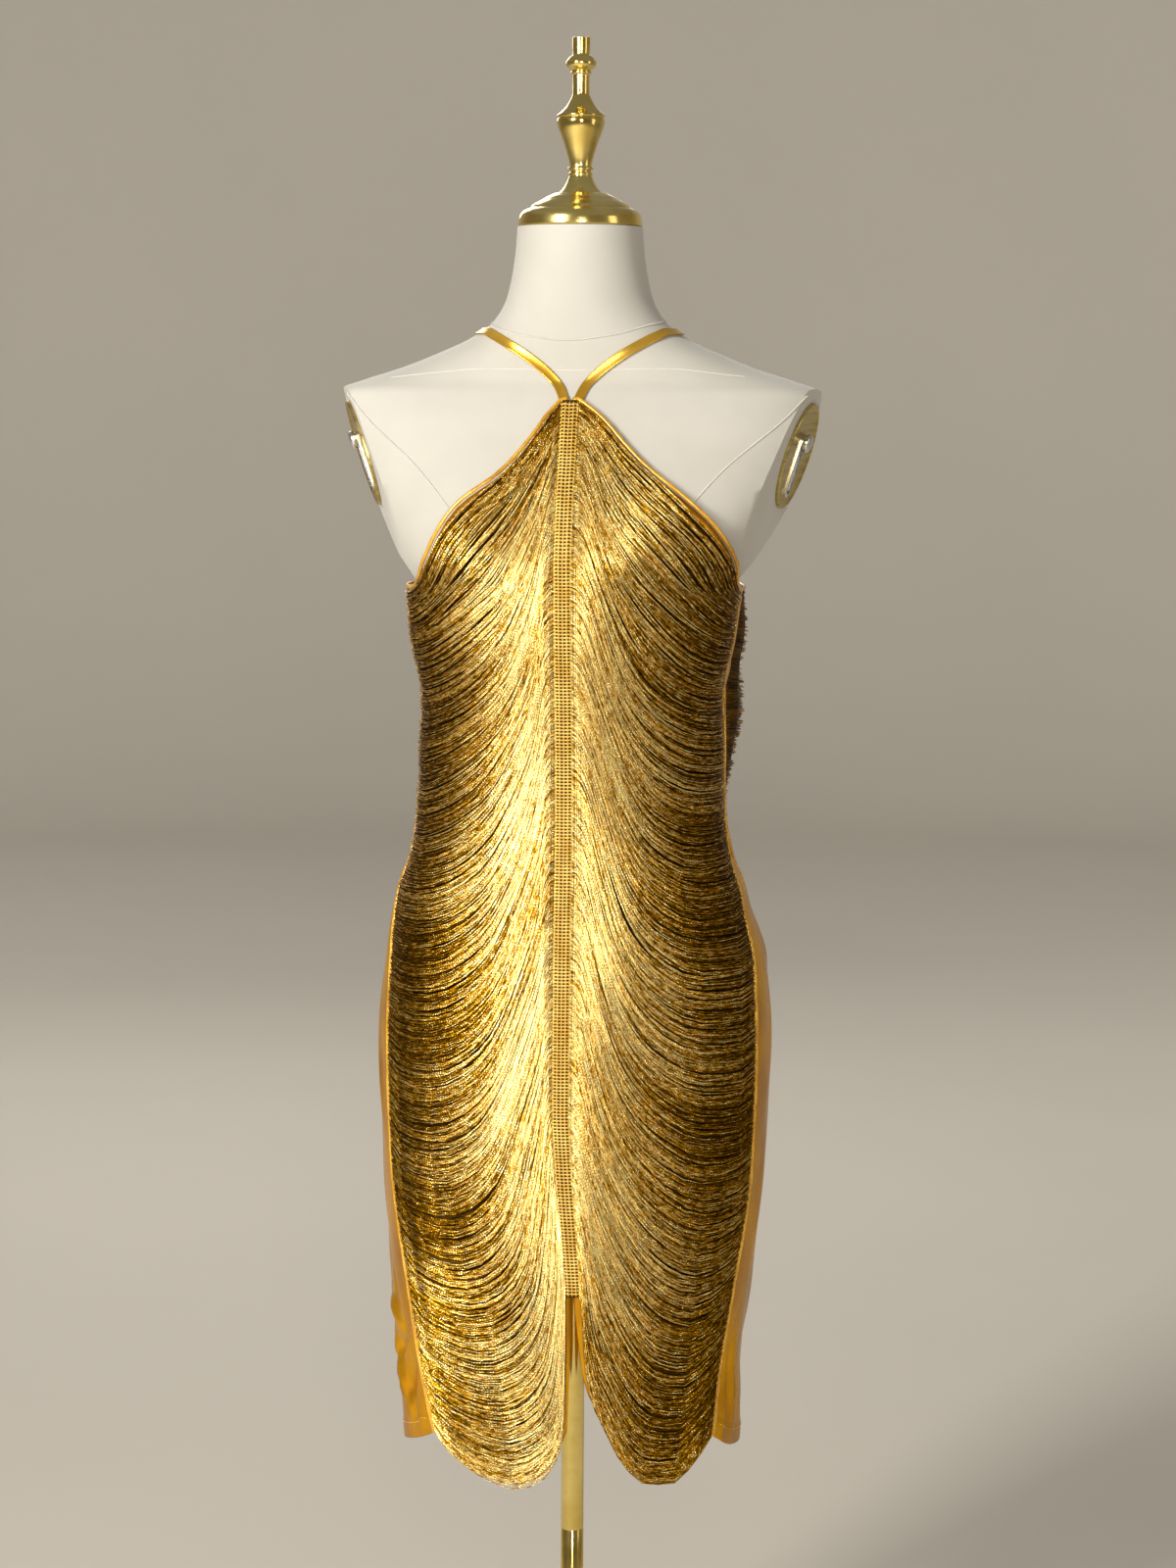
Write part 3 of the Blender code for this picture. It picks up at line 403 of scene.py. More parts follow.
def sheet_piece(name, grid, size, material, flip, thick, offset=-1.0):
    """A sheet from a grid of points. size holds each point's place on the flat cut, in metres."""
    faces = grid_faces(*grid.shape[:2], flip)
    uv = np.asarray(size).reshape(-1, 2)[faces]
    return walled(mesh_piece(name, grid, faces, material, {"cloth": uv}), thick, offset)


def opened(thing):
    """An object's mesh, ready for edits. saved() puts it back."""
    work = bmesh.new()
    work.from_mesh(thing.data)
    work.verts.ensure_lookup_table()
    return work


def saved(work, thing):
    work.to_mesh(thing.data)
    work.free()


def turned(name, profile, base_z, steps, material):
    """A profile of (height, radius) turned about Z, top to bottom, as a closed mesh."""
    profile = np.asarray(profile, float)
    angles = np.arange(steps) * 2 * math.pi / steps
    radius, height = profile[:, 1:2], profile[:, 0:1]
    ring = np.stack(
        [radius * np.cos(angles), radius * np.sin(angles), base_z + height + 0 * angles], axis=-1
    )
    thing = mesh_piece(name, ring, grid_faces(len(profile), steps, True, True), material)
    work = opened(thing)
    bmesh.ops.remove_doubles(work, verts=work.verts[:], dist=0.00004)
    bmesh.ops.recalc_face_normals(work, faces=work.faces[:])
    saved(work, thing)
    thing.data.set_sharp_from_angle(angle=math.radians(32))
    return thing


def refined(profile, times, corners=()):
    """More points on a profile: a Catmull-Rom curve, straight beside the numbered corners."""
    points = [np.array(p, float) for p in profile]
    made = []
    for i in range(len(points) - 1):
        p1, p2 = points[i], points[i + 1]
        p0 = points[i - 1] if i and i not in corners else p1
        p3 = points[i + 2] if i + 2 < len(points) and i + 1 not in corners else p2
        for k in range(times):
            t = k / times
            made.append(0.5 * (
                2 * p1 + (p2 - p0) * t + (2 * p0 - 5 * p1 + 4 * p2 - p3) * t**2
                + (3 * p1 - p0 - 3 * p2 + p3) * t**3
            ))
    made.append(points[-1])
    return np.array(made)


def join(name, parts):
    """Several mesh objects as one."""
    work = bmesh.new()
    for part in parts:
        work.from_mesh(part.data)
    keep = parts[0]
    work.to_mesh(keep.data)
    work.free()
    for part in parts[1:]:
        bpy.data.objects.remove(part)
    keep.name = name
    return keep


# Materials


class Nodes:
    """A material being made: its tree, and short ways to add nodes to it."""

    def __init__(self, name):
        self.material = bpy.data.materials.new(name)
        self.material.use_nodes = True
        self.tree = self.material.node_tree
        self.shader = self.tree.nodes["Principled BSDF"]

    def add(self, kind, **values):
        node = self.tree.nodes.new(kind)
        for key, value in values.items():
            setattr(node, key, value)
        return node

    def link(self, a, b):
        self.tree.links.new(a, b)

    def set(self, **values):
        for key, value in values.items():
            self.shader.inputs[key.replace("_", " ")].default_value = value

    def uv(self, name):
        return self.add("ShaderNodeUVMap", uv_map=name).outputs[0]

    def place(self):
        return self.add("ShaderNodeTexCoord").outputs["Object"]

    def scaled(self, vector, scale):
        node = self.add("ShaderNodeMapping")
        node.inputs["Scale"].default_value = scale
        self.link(vector, node.inputs["Vector"])
        return node.outputs[0]

    def noise(self, vector, scale, detail=3.0, rough=0.55):
        node = self.add("ShaderNodeTexNoise")
        node.inputs["Scale"].default_value = scale
        node.inputs["Detail"].default_value = detail
        node.inputs["Roughness"].default_value = rough
        self.link(vector, node.inputs["Vector"])
        return node.outputs[0]

    def math(self, operation, a, b=0.0):
        node = self.add("ShaderNodeMath", operation=operation)
        for socket, value in zip(node.inputs, (a, b)):
            if isinstance(value, (int, float)):
                socket.default_value = value
            else:
                self.link(value, socket)
        return node.outputs[0]

    def ramp(self, value, stops):
        node = self.add("ShaderNodeValToRGB")
        ramp = node.color_ramp
        while len(ramp.elements) < len(stops):
            ramp.elements.new(0.5)
        for element, (at, colour) in zip(ramp.elements, stops):
            element.position = at
            element.color = (*colour, 1.0) if len(colour) == 3 else colour
        self.link(value, node.inputs[0])
        return node.outputs[0]

    def range(self, value, low, high, to_low, to_high):
        node = self.add("ShaderNodeMapRange")
        for socket, number in zip(node.inputs[1:5], (low, high, to_low, to_high)):
            socket.default_value = number
        self.link(value, node.inputs[0])
        return node.outputs[0]

    def bump(self, height, strength, distance, under=None):
        node = self.add("ShaderNodeBump")
        node.inputs["Strength"].default_value = strength
        node.inputs["Distance"].default_value = distance
        self.link(height, node.inputs["Height"])
        if under is not None:
            self.link(under, node.inputs["Normal"])
        return node.outputs[0]

    def colour(self, socket):
        self.link(socket, self.shader.inputs["Base Color"])

    def rough(self, socket):
        self.link(socket, self.shader.inputs["Roughness"])

    def normal(self, socket):
        self.link(socket, self.shader.inputs["Normal"])


def thread_material(name, dark, mid, light, roughness=0.26):
    """Twisted rayon thread: tone from its own number and place, which carries painted shade and
    painted highlights, fine flecks that paint glints along it, and a fine twist.
    """
    n = Nodes(name)
    tone = n.add("ShaderNodeSeparateXYZ")
    n.link(n.uv("tone"), tone.inputs[0])
    number = n.math("MULTIPLY", tone.outputs[1], 900.0)
    along = n.add("ShaderNodeCombineXYZ")
    parts = n.add("ShaderNodeSeparateXYZ")
    n.link(n.uv("thread"), parts.inputs[0])
    n.link(parts.outputs[0], along.inputs[0])
    n.link(number, along.inputs[1])
    # Painted glints: noise along each thread pushes its tone towards the cream top of the ramp and
    # makes it a little glossier there.
    painted_glints = n.noise(along.outputs[0], 1.5, 3.0, 0.66)
    moved = n.math("MULTIPLY", n.math("SUBTRACT", painted_glints, 0.5), 3.6)
    value = n.math("ADD", tone.outputs[0], moved)
    n.colour(n.ramp(value, ((0.08, dark), (0.46, mid), (0.86, light))))
    turns = n.math("ADD", n.math("MULTIPLY", parts.outputs[0], 4.2), parts.outputs[1])
    wave = n.math("SINE", n.math("MULTIPLY", turns, 2 * math.pi))
    n.normal(n.bump(wave, 0.5, 0.0004))
    n.rough(n.range(painted_glints, 0.3, 0.7, roughness + 0.10, roughness - 0.04))
    n.set(Metallic=0.92, Specular_IOR_Level=0.4)
    return n.material


def trim_material(name, dark, light, roughness=0.36, scale=900.0, metallic=0.30):
    """Gold cord and narrow satin, with fine ribs in its bump."""
    n = Nodes(name)
    place = n.place()
    fine = n.noise(place, scale, 2.0)
    wide = n.noise(place, 45.0, 3.0)
    mixed = n.math("ADD", n.math("MULTIPLY", fine, 0.5), n.math("MULTIPLY", wide, 0.5))
    n.colour(n.ramp(mixed, ((0.36, dark), (0.62, light))))
    n.normal(n.bump(fine, 0.35, 0.0003))
    n.rough(n.range(wide, 0.3, 0.7, roughness - 0.06, roughness + 0.08))
    n.set(Metallic=metallic, Specular_IOR_Level=0.3 + 1.4 * metallic)
    return n.material


def satin_material(name, dark, light, roughness=0.30):
    """Satin: fine floats across, a soft change of tone, and small drag marks."""
    n = Nodes(name)
    cloth = n.uv("cloth")
    floats = n.noise(n.scaled(cloth, (700.0, 3200.0, 1.0)), 1.0, 2.0)
    wide = n.noise(n.scaled(cloth, (1.0, 0.55, 1.0)), 16.0, 4.0)
    creases = n.noise(n.scaled(cloth, (1.0, 0.3, 1.0)), 60.0, 3.0)
    n.colour(n.ramp(wide, ((0.34, dark), (0.64, light))))
    low = n.bump(creases, 0.12, 0.002)
    n.normal(n.bump(floats, 0.16, 0.0002, low))
    n.rough(n.range(wide, 0.3, 0.7, roughness - 0.03, roughness + 0.07))
    tangent = n.add("ShaderNodeTangent", direction_type="UV_MAP", uv_map="cloth")
    n.link(tangent.outputs[0], n.shader.inputs["Tangent"])
    n.set(Metallic=0.72, Specular_IOR_Level=0.4, Anisotropic=0.4)
    return n.material


def jersey_material():
    """The form's cream cover: a fine knit, faint soiling in the tone."""
    n = Nodes("jersey_cover")
    place = n.place()
    knit = n.noise(n.scaled(place, (1.0, 1.0, 0.6)), 1300.0, 2.0)
    wide = n.noise(place, 9.0, 3.0)
    n.colour(n.ramp(wide, ((0.30, (0.43, 0.41, 0.36)), (0.70, (0.49, 0.47, 0.42)))))
    low = n.bump(n.noise(place, 38.0, 2.0), 0.06, 0.003)
    n.normal(n.bump(knit, 0.22, 0.0003, low))
    n.rough(n.range(knit, 0.3, 0.7, 0.62, 0.80))
    n.set(Specular_IOR_Level=0.35, Sheen_Weight=0.25, Sheen_Roughness=0.5)
    return n.material


def metal_material(name, dark, light, roughness, streak=(1.0, 1.0, 1.0)):
    """Plated metal with faint smears in its polish."""
    n = Nodes(name)
    place = n.scaled(n.place(), streak)
    smears = n.noise(place, 26.0, 4.0, 0.6)
    fine = n.noise(place, 420.0, 2.0)
    n.colour(n.ramp(smears, ((0.30, dark), (0.65, light))))
    n.rough(n.range(smears, 0.3, 0.75, roughness, roughness + 0.12))
    n.normal(n.bump(fine, 0.04, 0.0003))
    n.set(Metallic=1.0)
    return n.material


# The thread's own gold is the middle stop. The dark stop is reached where the tone paints shade,
# and the cream top stop is a painted highlight.
GOLD_THREAD = thread_material(
    "gold_fringe_thread", (0.17, 0.070, 0.0002), (0.66, 0.345, 0.002), (1.0, 0.82, 0.36)
)
# Painted shade: the lower layer of threads is given near-black browns for the shade under the upper
# threads.
PAINTED_SHADE_BED = thread_material(
    "fringe_bed", (0.016, 0.006, 0.001), (0.060, 0.027, 0.002), (0.15, 0.075, 0.006), 0.5
)
GIMP = trim_material("braid_gimp", (0.58, 0.31, 0.012), (0.95, 0.68, 0.16), 0.34, 1400.0)
# Painted shade: the band under the gimp cords is near-black brown, so that the gaps between the
# cords read as shade.
GIMP_SHADE_BAND = satin_material("braid_band", (0.07, 0.028, 0.001), (0.15, 0.065, 0.003), 0.5)
BINDING = trim_material("satin_binding", (0.46, 0.19, 0.006), (0.86, 0.50, 0.05), 0.24)
STITCH = trim_material("gold_stitches", (0.70, 0.42, 0.05), (0.98, 0.76, 0.26), 0.40)
SATIN = satin_material("gold_satin", (0.46, 0.19, 0.002), (0.74, 0.37, 0.008), 0.24)
RIBBON = satin_material("gold_ribbon", (0.56, 0.28, 0.012), (0.86, 0.55, 0.09), 0.22)
JERSEY = jersey_material()
SEAM = trim_material("cream_seam_thread", (0.54, 0.52, 0.46), (0.62, 0.60, 0.54), 0.7, 900.0, 0.0)
GILT = metal_material("polished_gilt", (0.70, 0.50, 0.11), (0.90, 0.72, 0.26), 0.10)
PLATE = metal_material("brushed_gilt", (0.42, 0.31, 0.08), (0.66, 0.52, 0.20), 0.26, (1, 1, 14))
STEEL = metal_material("bright_fitting", (0.50, 0.50, 0.48), (0.82, 0.82, 0.80), 0.16)
DARK_METAL = metal_material("dark_slot", (0.015, 0.014, 0.012), (0.05, 0.045, 0.04), 0.4)


def rides(thing, slot, *nodes):
    """The piece moves with the part and stands for these nodes. slot is not used."""
    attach(thing, "root")
    if nodes:
        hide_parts(*nodes)
    return thing


def cloth(thing, slot, node):
    """A sheet of cloth hung on the form, standing for a node."""
    rides(thing, slot, node)


# The dress form


def form_cover():
    """The covered body, finely meshed, with its two arm ends cut flat."""
    sides = 112
    heights = np.concatenate([
        np.arange(FORM_BOTTOM, 1.06, 0.010), np.arange(1.06, 1.195, 0.006),
        np.arange(1.195, 1.30, 0.0028), np.arange(1.30, FORM_TOP, 0.006), [FORM_TOP],
    ])
    grid = body_point(np.arange(sides) * 360.0 / sides, heights[:, None])
    index = np.arange(grid.shape[0] * sides).reshape(-1, sides)
    faces = grid_faces(*index.shape, False, True)
    thing = mesh_piece("form_cover", grid, faces, JERSEY)
    body = opened(thing)
    for ring in (index[0][::-1], index[-1]):
        body.faces.new([body.verts[i] for i in ring])
    for side in (-1, 1):
        place, normal, _ = arm_plane(side)
        high = [f for f in body.faces if min(v.co.z for v in f.verts) > ARM_CUT_ABOVE]
        # in the order they come, so that every run numbers them alike
        edges = dict.fromkeys(e for f in high for e in f.edges)
        whole = [*high, *edges, *dict.fromkeys(v for f in high for v in f.verts)]
        cut = bmesh.ops.bisect_plane(
            body, geom=whole, plane_co=place, plane_no=normal, clear_outer=True
        )
        rim = [e for e in cut["geom_cut"] if isinstance(e, bmesh.types.BMEdge)]
        bmesh.ops.contextual_create(body, geom=rim)
    bmesh.ops.recalc_face_normals(body, faces=body.faces[:])
    saved(body, thing)
    thing.data.set_sharp_from_angle(angle=math.radians(40))
    return rides(thing, "form_cover", "dress_form_body")


def arm_plane(side):
    """A point on an arm end, the way it faces, and the way down along it."""
    top = Vector((side * ARM_TOP[0], 0.0, ARM_TOP[1]))
    bottom = Vector((side * ARM_BOTTOM[0], 0.0, ARM_BOTTOM[1]))
    down = (bottom - top).normalized()
    normal = Vector((-down.z * side, 0.0, down.x * side)).normalized()
    normal = normal if normal.x * side > 0 else -normal
    normal = normal * math.cos(ARM_TURN) + Vector((0.0, -math.sin(ARM_TURN), 0.0))
    return top, normal, down


# Raised seams on the form, as angle and height on its face
NECK_SEAM = np.array((
    (-180.0, 1.2840), (-140.0, 1.2820), (-105.0, 1.2790), (-68.0, 1.2717), (-34.5, 1.2640),
    (-4.4, 1.2616), (31.0, 1.2656), (65.0, 1.2745), (105.0, 1.2790), (140.0, 1.2820),
    (180.0, 1.2840),
))
PRINCESS_SEAM = np.array((
    (81.0, 1.2190), (74.0, 1.1998), (66.4, 1.1812), (57.2, 1.1605), (48.7, 1.1395),
    (40.0, 1.1150), (33.5, 1.0850), (30.5, 1.0500),
))
YOKE_SEAM = np.array((
    (-78.0, 1.2318), (-70.0, 1.2358), (-53.4, 1.2391), (4.5, 1.2382), (56.9, 1.2399),
    (75.6, 1.2342),
))


def seam_line(table, count):
    """Even points along a table of (angle, height) on the form's face, and the way out."""
    t = np.linspace(0.0, 1.0, len(table))
    fine = np.linspace(0.0, 1.0, 900)
    place, away = body_face(curve(t, table[:, 0], fine), curve(t, table[:, 1], fine), False)
    length = run(place)
    even = np.linspace(0.0, length[-1], count or max(2, int(length[-1] / 0.0016)))
    return along_line(even, length, place), unit(along_line(even, length, away))


def rope(place, away, radius, lift, lean=0.9):
    """Short slanting stitches over a low ridge, as cords of five points each."""
    along = unit(np.gradient(place, axis=0))
    side = np.cross(along, away)
    t = np.linspace(-1.0, 1.0, 5)
    pitch = np.linalg.norm(np.diff(place, axis=0), axis=1).mean()
    paths = (
        place[:, None, :]
        + side[:, None, :] * (t * lift * 1.3)[None, :, None]
        + along[:, None, :] * (t * pitch * lean)[None, :, None]
        + away[:, None, :] * (lift * np.cos(t * math.pi / 2) - radius * 0.2)[None, :, None]
    )
    return paths, np.broadcast_to(away[:, None, :], paths.shape)


def form_seams():
    """Fine rope-like seams round the neck and down from each arm end, and a faint yoke line."""
    paths, outs = [], []
    tables = [NECK_SEAM, PRINCESS_SEAM, PRINCESS_SEAM * (-1, 1)]
    rear = PRINCESS_SEAM * (-1, 1) + (180, 0)
    tables += [rear, rear * (-1, 1)]
    for table in tables:
        place, away = seam_line(table, 0)
        made, out = rope(place, away, 0.0003, 0.0005)
        paths.append(made)
        outs.append(out)
    paths, outs = np.concatenate(paths), np.concatenate(outs)
    taper = np.array((0.5, 1.0, 1.0, 1.0, 0.5)) * 0.00046
    thing = cords("form_seam_stitches", paths, outs, taper, 4, SEAM)
    rides(thing, "form_cover")
    for word, sign in (("front", 1), ("back", -1)):
        table = YOKE_SEAM * (sign, 1) + (0 if sign > 0 else 180, 0)
        place, away = seam_line(table, 150)
        place = place - away * 0.00025
        thing = cords(f"form_yoke_{word}", place[None], away[None], 0.00050, 6, SEAM)
        rides(thing, "form_cover")


CAP_TOP = (
    (0.1482, 0.0000), (0.1482, 0.0062), (0.1478, 0.0069), (0.1470, 0.0071), (0.1400, 0.0071),
    (0.1345, 0.0068), (0.1335, 0.0085), (0.1318, 0.0102), (0.1300, 0.0116), (0.1282, 0.0122),
    (0.1262, 0.0118), (0.1246, 0.0106), (0.1228, 0.0083), (0.1222, 0.0076), (0.1216, 0.0081),
    (0.1206, 0.0083), (0.1197, 0.0080), (0.1190, 0.0069), (0.1120, 0.0067), (0.1060, 0.0068),
    (0.1033, 0.0070), (0.0990, 0.0090), (0.0935, 0.0125), (0.0895, 0.0168), (0.0880, 0.0187),
    (0.0872, 0.0191), (0.0862, 0.0188), (0.0855, 0.0181), (0.0846, 0.0186), (0.0832, 0.0190),
    (0.0812, 0.0189), (0.0770, 0.0179), (0.0700, 0.0152), (0.0600, 0.0118), (0.0520, 0.0096),
    (0.0475, 0.0090), (0.0469, 0.0099), (0.0460, 0.0103), (0.0450, 0.0102), (0.0442, 0.0087),
    (0.0430, 0.0086), (0.0424, 0.0094), (0.0414, 0.0096), (0.0402, 0.0092), (0.0391, 0.0096),
    (0.0350, 0.0112), (0.0310, 0.0136), (0.0285, 0.0158), (0.0272, 0.0170), (0.0266, 0.0176),
    (0.0263, 0.0214), (0.0259, 0.0222), (0.0250, 0.0240), (0.0234, 0.0275), (0.0214, 0.0307),
    (0.0192, 0.0350), (0.0176, 0.0377), (0.0171, 0.0384), (0.0167, 0.0390), (0.0152, 0.0397),
    (0.0149, 0.0403), (0.0140, 0.0424), (0.0126, 0.0452), (0.0104, 0.0476), (0.0076, 0.0489),
    (0.0040, 0.0495), (0.0018, 0.0497), (0.0008, 0.0494), (0.0003, 0.0486), (0.0003, 0.0000),
)


def neck_cap():
    thing = turned("neck_cap", refined(CAP_TOP, 3, (0, 1, 13, 17, 27, 49, 50, 58, 68)),
                   FORM_TOP, 64, GILT)
    rides(thing, "gilt_metal", "neck_cap_finial")


def arm_fitting(side):
    """A dished oval plate with a raised rim, a slotted strip and a round knob."""
    word = WORD[side]
    top, normal, down = arm_plane(side)
    bottom = Vector((side * ARM_BOTTOM[0], 0.0, ARM_BOTTOM[1]))
    centre = (top + bottom) / 2
    turn = Matrix((down, normal.cross(down), normal)).transposed().to_4x4()
    seat = Matrix.Translation(centre + normal * GAP) @ turn
    angles = np.arange(72) * 2 * math.pi / 72
    # share of the half sizes, and height
    rings = ((1.0, 0.0), (1.0, 0.0018), (0.985, 0.0025), (0.955, 0.0025), (0.935, 0.0019),
             (0.90, 0.0016), (0.45, 0.0017), (0.0, 0.0018))
    points = [
        (0.0440 * share * math.cos(a), 0.0340 * share * math.sin(a), height)
        for share, height in rings for a in angles
    ]
    faces = grid_faces(len(rings), len(angles), False, True)
    plate = mesh_piece(f"arm_plate_face_{word}", points, faces, PLATE)
    work = opened(plate)
    bmesh.ops.remove_doubles(work, verts=work.verts[:], dist=0.00005)
    saved(work, plate)
    plate.data.set_sharp_from_angle(angle=math.radians(30))
    plate.data.transform(seat)
    rides(plate, "gilt_metal", f"arm_plate_{word}")
    knob = turned(f"arm_knob_cap_{word}", refined(
        ((0.0070, 0.0), (0.0070, 0.0030), (0.0066, 0.0058), (0.0054, 0.0072), (0.0040, 0.0075),
         (0.0022, 0.0071), (0.0016, 0.0058), (0.0, 0.0056)), 3), 0.0, 40, STEEL)
    knob.data.transform(seat @ Matrix.Translation((-0.012, 0.0, 0.0019)))
    rides(knob, "arm_fitting", f"arm_knob_{word}")
    strip = slotted_strip(f"arm_slot_{word}")
    strip.data.transform(seat @ Matrix.Translation((0.008, 0.0, 0.0017)))
    rides(strip, "arm_fitting")


def rounded_bar(half_long, half_wide, count=9):
    """The outline of a bar with round ends."""
    ends = np.linspace(-math.pi / 2, math.pi / 2, count)
    right = [(half_long - half_wide + half_wide * math.cos(a), half_wide * math.sin(a))
             for a in ends]
    return right + [(-x, -y) for x, y in right]


def slotted_strip(name):
    """A raised keyhole slot: a bright rim round a dark sunk slot."""
    outer, inner = rounded_bar(0.0265, 0.0062), rounded_bar(0.0235, 0.0034)
    count = len(outer)
    levels = ((outer, 0.0), (outer, 0.0012), (inner, 0.0016), (inner, 0.0003))
    points = [(x, y, h) for ring, h in levels for x, y in ring]
    thing = mesh_piece(name, points, grid_faces(len(levels), count, False, True), STEEL)
    thing.data.materials.append(DARK_METAL)
    work = opened(thing)
    floor = work.faces.new([work.verts[3 * count + k] for k in range(count)])
    floor.material_index = 1
    saved(work, thing)
    thing.data.set_sharp_from_angle(angle=math.radians(30))
    return thing


def stand():
    collar = turned("form_collar_turned", (
        (0.0120, 0.0), (0.0120, 0.0294), (0.0114, 0.0300), (0.0078, 0.0300), (0.0070, 0.0296),
        (0.0056, 0.0262), (0.0034, 0.0216), (0.0008, 0.0186), (0.0, 0.0180), (0.0, 0.0),
    ), 0.5477, 64, GILT)
    rides(collar, "gilt_metal", "form_collar")
    pole = turned("pole_turned", (
        (0.5201, 0.0), (0.5201, 0.0095), (0.4600, 0.0095), (0.2470, 0.0095), (0.2465, 0.0092),
        (0.2455, 0.0092), (0.2450, 0.0095), (0.0, 0.0095), (0.0, 0.0),
    ), 0.0273, 48, GILT)
    rides(pole, "gilt_metal", "form_pole")
    base = turned("base_turned", refined(
        ((0.0270, 0.0), (0.0270, 0.0120), (0.0269, 0.0185), (0.0262, 0.0210), (0.0235, 0.0240),
         (0.0190, 0.0262), (0.0165, 0.0292), (0.0158, 0.0400), (0.0150, 0.0700), (0.0139, 0.1000),
         (0.0125, 0.1250), (0.0106, 0.1430), (0.0085, 0.1535), (0.0066, 0.1585), (0.0045, 0.1600),
         (0.0015, 0.1596), (0.0, 0.1580), (0.0, 0.0)), 3, (0, 1, 16)), 0.0, 128, GILT)
    rides(base, "gilt_metal", "form_base")


# The satin


def creased(u, v, table):
    """Height of soft creases. Each row: middle u and v, direction in degrees, half length, half
    width, height (ridge if positive)."""
    height = np.zeros(np.broadcast(u, v).shape)
    for mid_u, mid_v, direction, half_long, half_wide, high in table:
        a = math.radians(direction)
        du, dv = u - mid_u, v - mid_v
        along = (du * math.cos(a) + dv * math.sin(a)) / half_long
        across = (-du * math.sin(a) + dv * math.cos(a)) / half_wide
        across = across + 0.35 * along**2
        height += high * np.exp(-(along**2)) * (1 - 0.6 * across**2) * np.exp(-(across**2))
    return height


def side_place(sign, across, row):
    """Angle from the front and height of a side panel's point. across is from -1, its front
    edge, to 1."""
    low = SIDE_HEM + SIDE_HEM_RISE * across**2
    z = low + (UNDERARM + EDGE_ABOVE - low) * row
    edge = np.where(across < 0, side_edge(z, sign), side_edge(z, 1))
    edge = edge + turn_for(GAP / 2, edge, z)
    return 90.0 + (90.0 - edge) * across, z


# Creases of each side panel: metres from its middle line towards the back, height, direction
# (90 is up), half length, half width, height of the crease.
SIDE_CREASES = {
    -1: (
        (-0.030, 0.492, 60.0, 0.022, 0.0080, -0.0034), (-0.031, 0.466, 34.0, 0.020, 0.0060, 0.0042),
        (-0.046, 0.442, 118.0, 0.024, 0.006, -0.0032), (-0.040, 0.425, 62.0, 0.026, 0.006, 0.0044),
        (-0.058, 0.412, 108.0, 0.024, 0.006, -0.0030), (-0.051, 0.397, 70.0, 0.022, 0.0055, 0.0038),
        (-0.069, 0.385, 94.0, 0.016, 0.0050, 0.0030), (-0.024, 0.386, 84.0, 0.022, 0.0060, -0.0028),
        (0.006, 0.415, 108.0, 0.026, 0.0060, -0.0032), (0.022, 0.447, 74.0, 0.034, 0.0085, 0.0036),
        (0.000, 0.500, 81.0, 0.045, 0.0100, 0.0026), (-0.026, 0.660, 82.0, 0.040, 0.0070, 0.0018),
        (0.034, 0.395, 84.0, 0.028, 0.0070, -0.0030), (-0.008, 0.560, 98.0, 0.050, 0.0110, 0.0016),
        (0.018, 0.640, 86.0, 0.060, 0.0120, -0.0014), (-0.012, 0.725, 70.0, 0.040, 0.0100, 0.0012),
        (0.004, 0.832, 24.0, 0.016, 0.0060, 0.0018), (-0.004, 0.862, -18.0, 0.014, 0.0055, -0.0016),
        (0.002, 0.905, 14.0, 0.013, 0.0055, 0.0015), (0.000, 0.955, -26.0, 0.018, 0.0065, 0.0016),
        (-0.006, 0.985, 30.0, 0.020, 0.0070, -0.0012), (0.006, 1.022, 80.0, 0.024, 0.0070, 0.0012),
    ),
    1: (
        (-0.050, 0.412, 86.0, 0.042, 0.0042, 0.0044), (-0.041, 0.412, 88.0, 0.040, 0.0034, -0.0032),
        (-0.032, 0.408, 91.0, 0.040, 0.0042, 0.0036), (0.002, 0.405, 94.0, 0.030, 0.0080, -0.0026),
        (0.028, 0.440, 80.0, 0.036, 0.0090, 0.0030), (0.002, 0.482, 100.0, 0.038, 0.0100, 0.0016),
        (-0.016, 0.565, 84.0, 0.055, 0.0110, 0.0014), (0.020, 0.610, 94.0, 0.050, 0.0110, -0.0015),
        (-0.004, 0.700, 76.0, 0.050, 0.0110, 0.0012), (0.012, 0.770, 112.0, 0.030, 0.0080, 0.0013),
        (0.000, 0.840, -20.0, 0.015, 0.0060, 0.0017), (0.004, 0.874, 22.0, 0.014, 0.0055, -0.0015),
        (-0.002, 0.920, -12.0, 0.014, 0.0055, 0.0015), (0.004, 0.965, 34.0, 0.018, 0.0065, 0.0014),
        (-0.006, 1.000, -38.0, 0.020, 0.0070, 0.0012), (0.004, 1.030, 96.0, 0.022, 0.0070, -0.0011),
    ),
}


def satin_side(sign):
    """The plain side panel with its creases and a softly waved hem."""
    word = WORD[sign]
    rows, columns = 230, 44
    across = np.linspace(-1.0, 1.0, columns)[None, :]
    row = (np.linspace(0.0, 1.0, rows) ** 1.15)[:, None]
    angle, z = side_place(sign, across + 0 * row, row + 0 * across)
    place, away = body_face(sign * angle, z)
    middle = np.linalg.norm(place[..., :2], axis=-1)
    u = np.radians(angle - 90.0) * middle
    fade = np.clip((1 - np.abs(across)) / 0.16, 0.0, 1.0)
    lift = creased(u, z, SIDE_CREASES[sign])
    hem = np.exp(-(((z - SIDE_HEM) / 0.055) ** 2))
    lift = lift + hem * 0.0016 * np.sin(u * 92.0 + 1.1 * sign)
    turned_up = np.clip((SIDE_HEM + HEM_TURN + SIDE_HEM_RISE * across**2 - z) / 0.0012, 0.0, 1.0)
    lift = np.maximum(lift, -0.0030) * fade + turned_up * 0.0006
    grid = place + away * lift[..., None]
    size = np.stack([u, z], axis=-1)
    thing = sheet_piece(f"satin_side_{word}", grid, size, SATIN, sign < 0, WALL)
    cloth(thing, "satin", f"panel_side_{word}")
    return grid, away


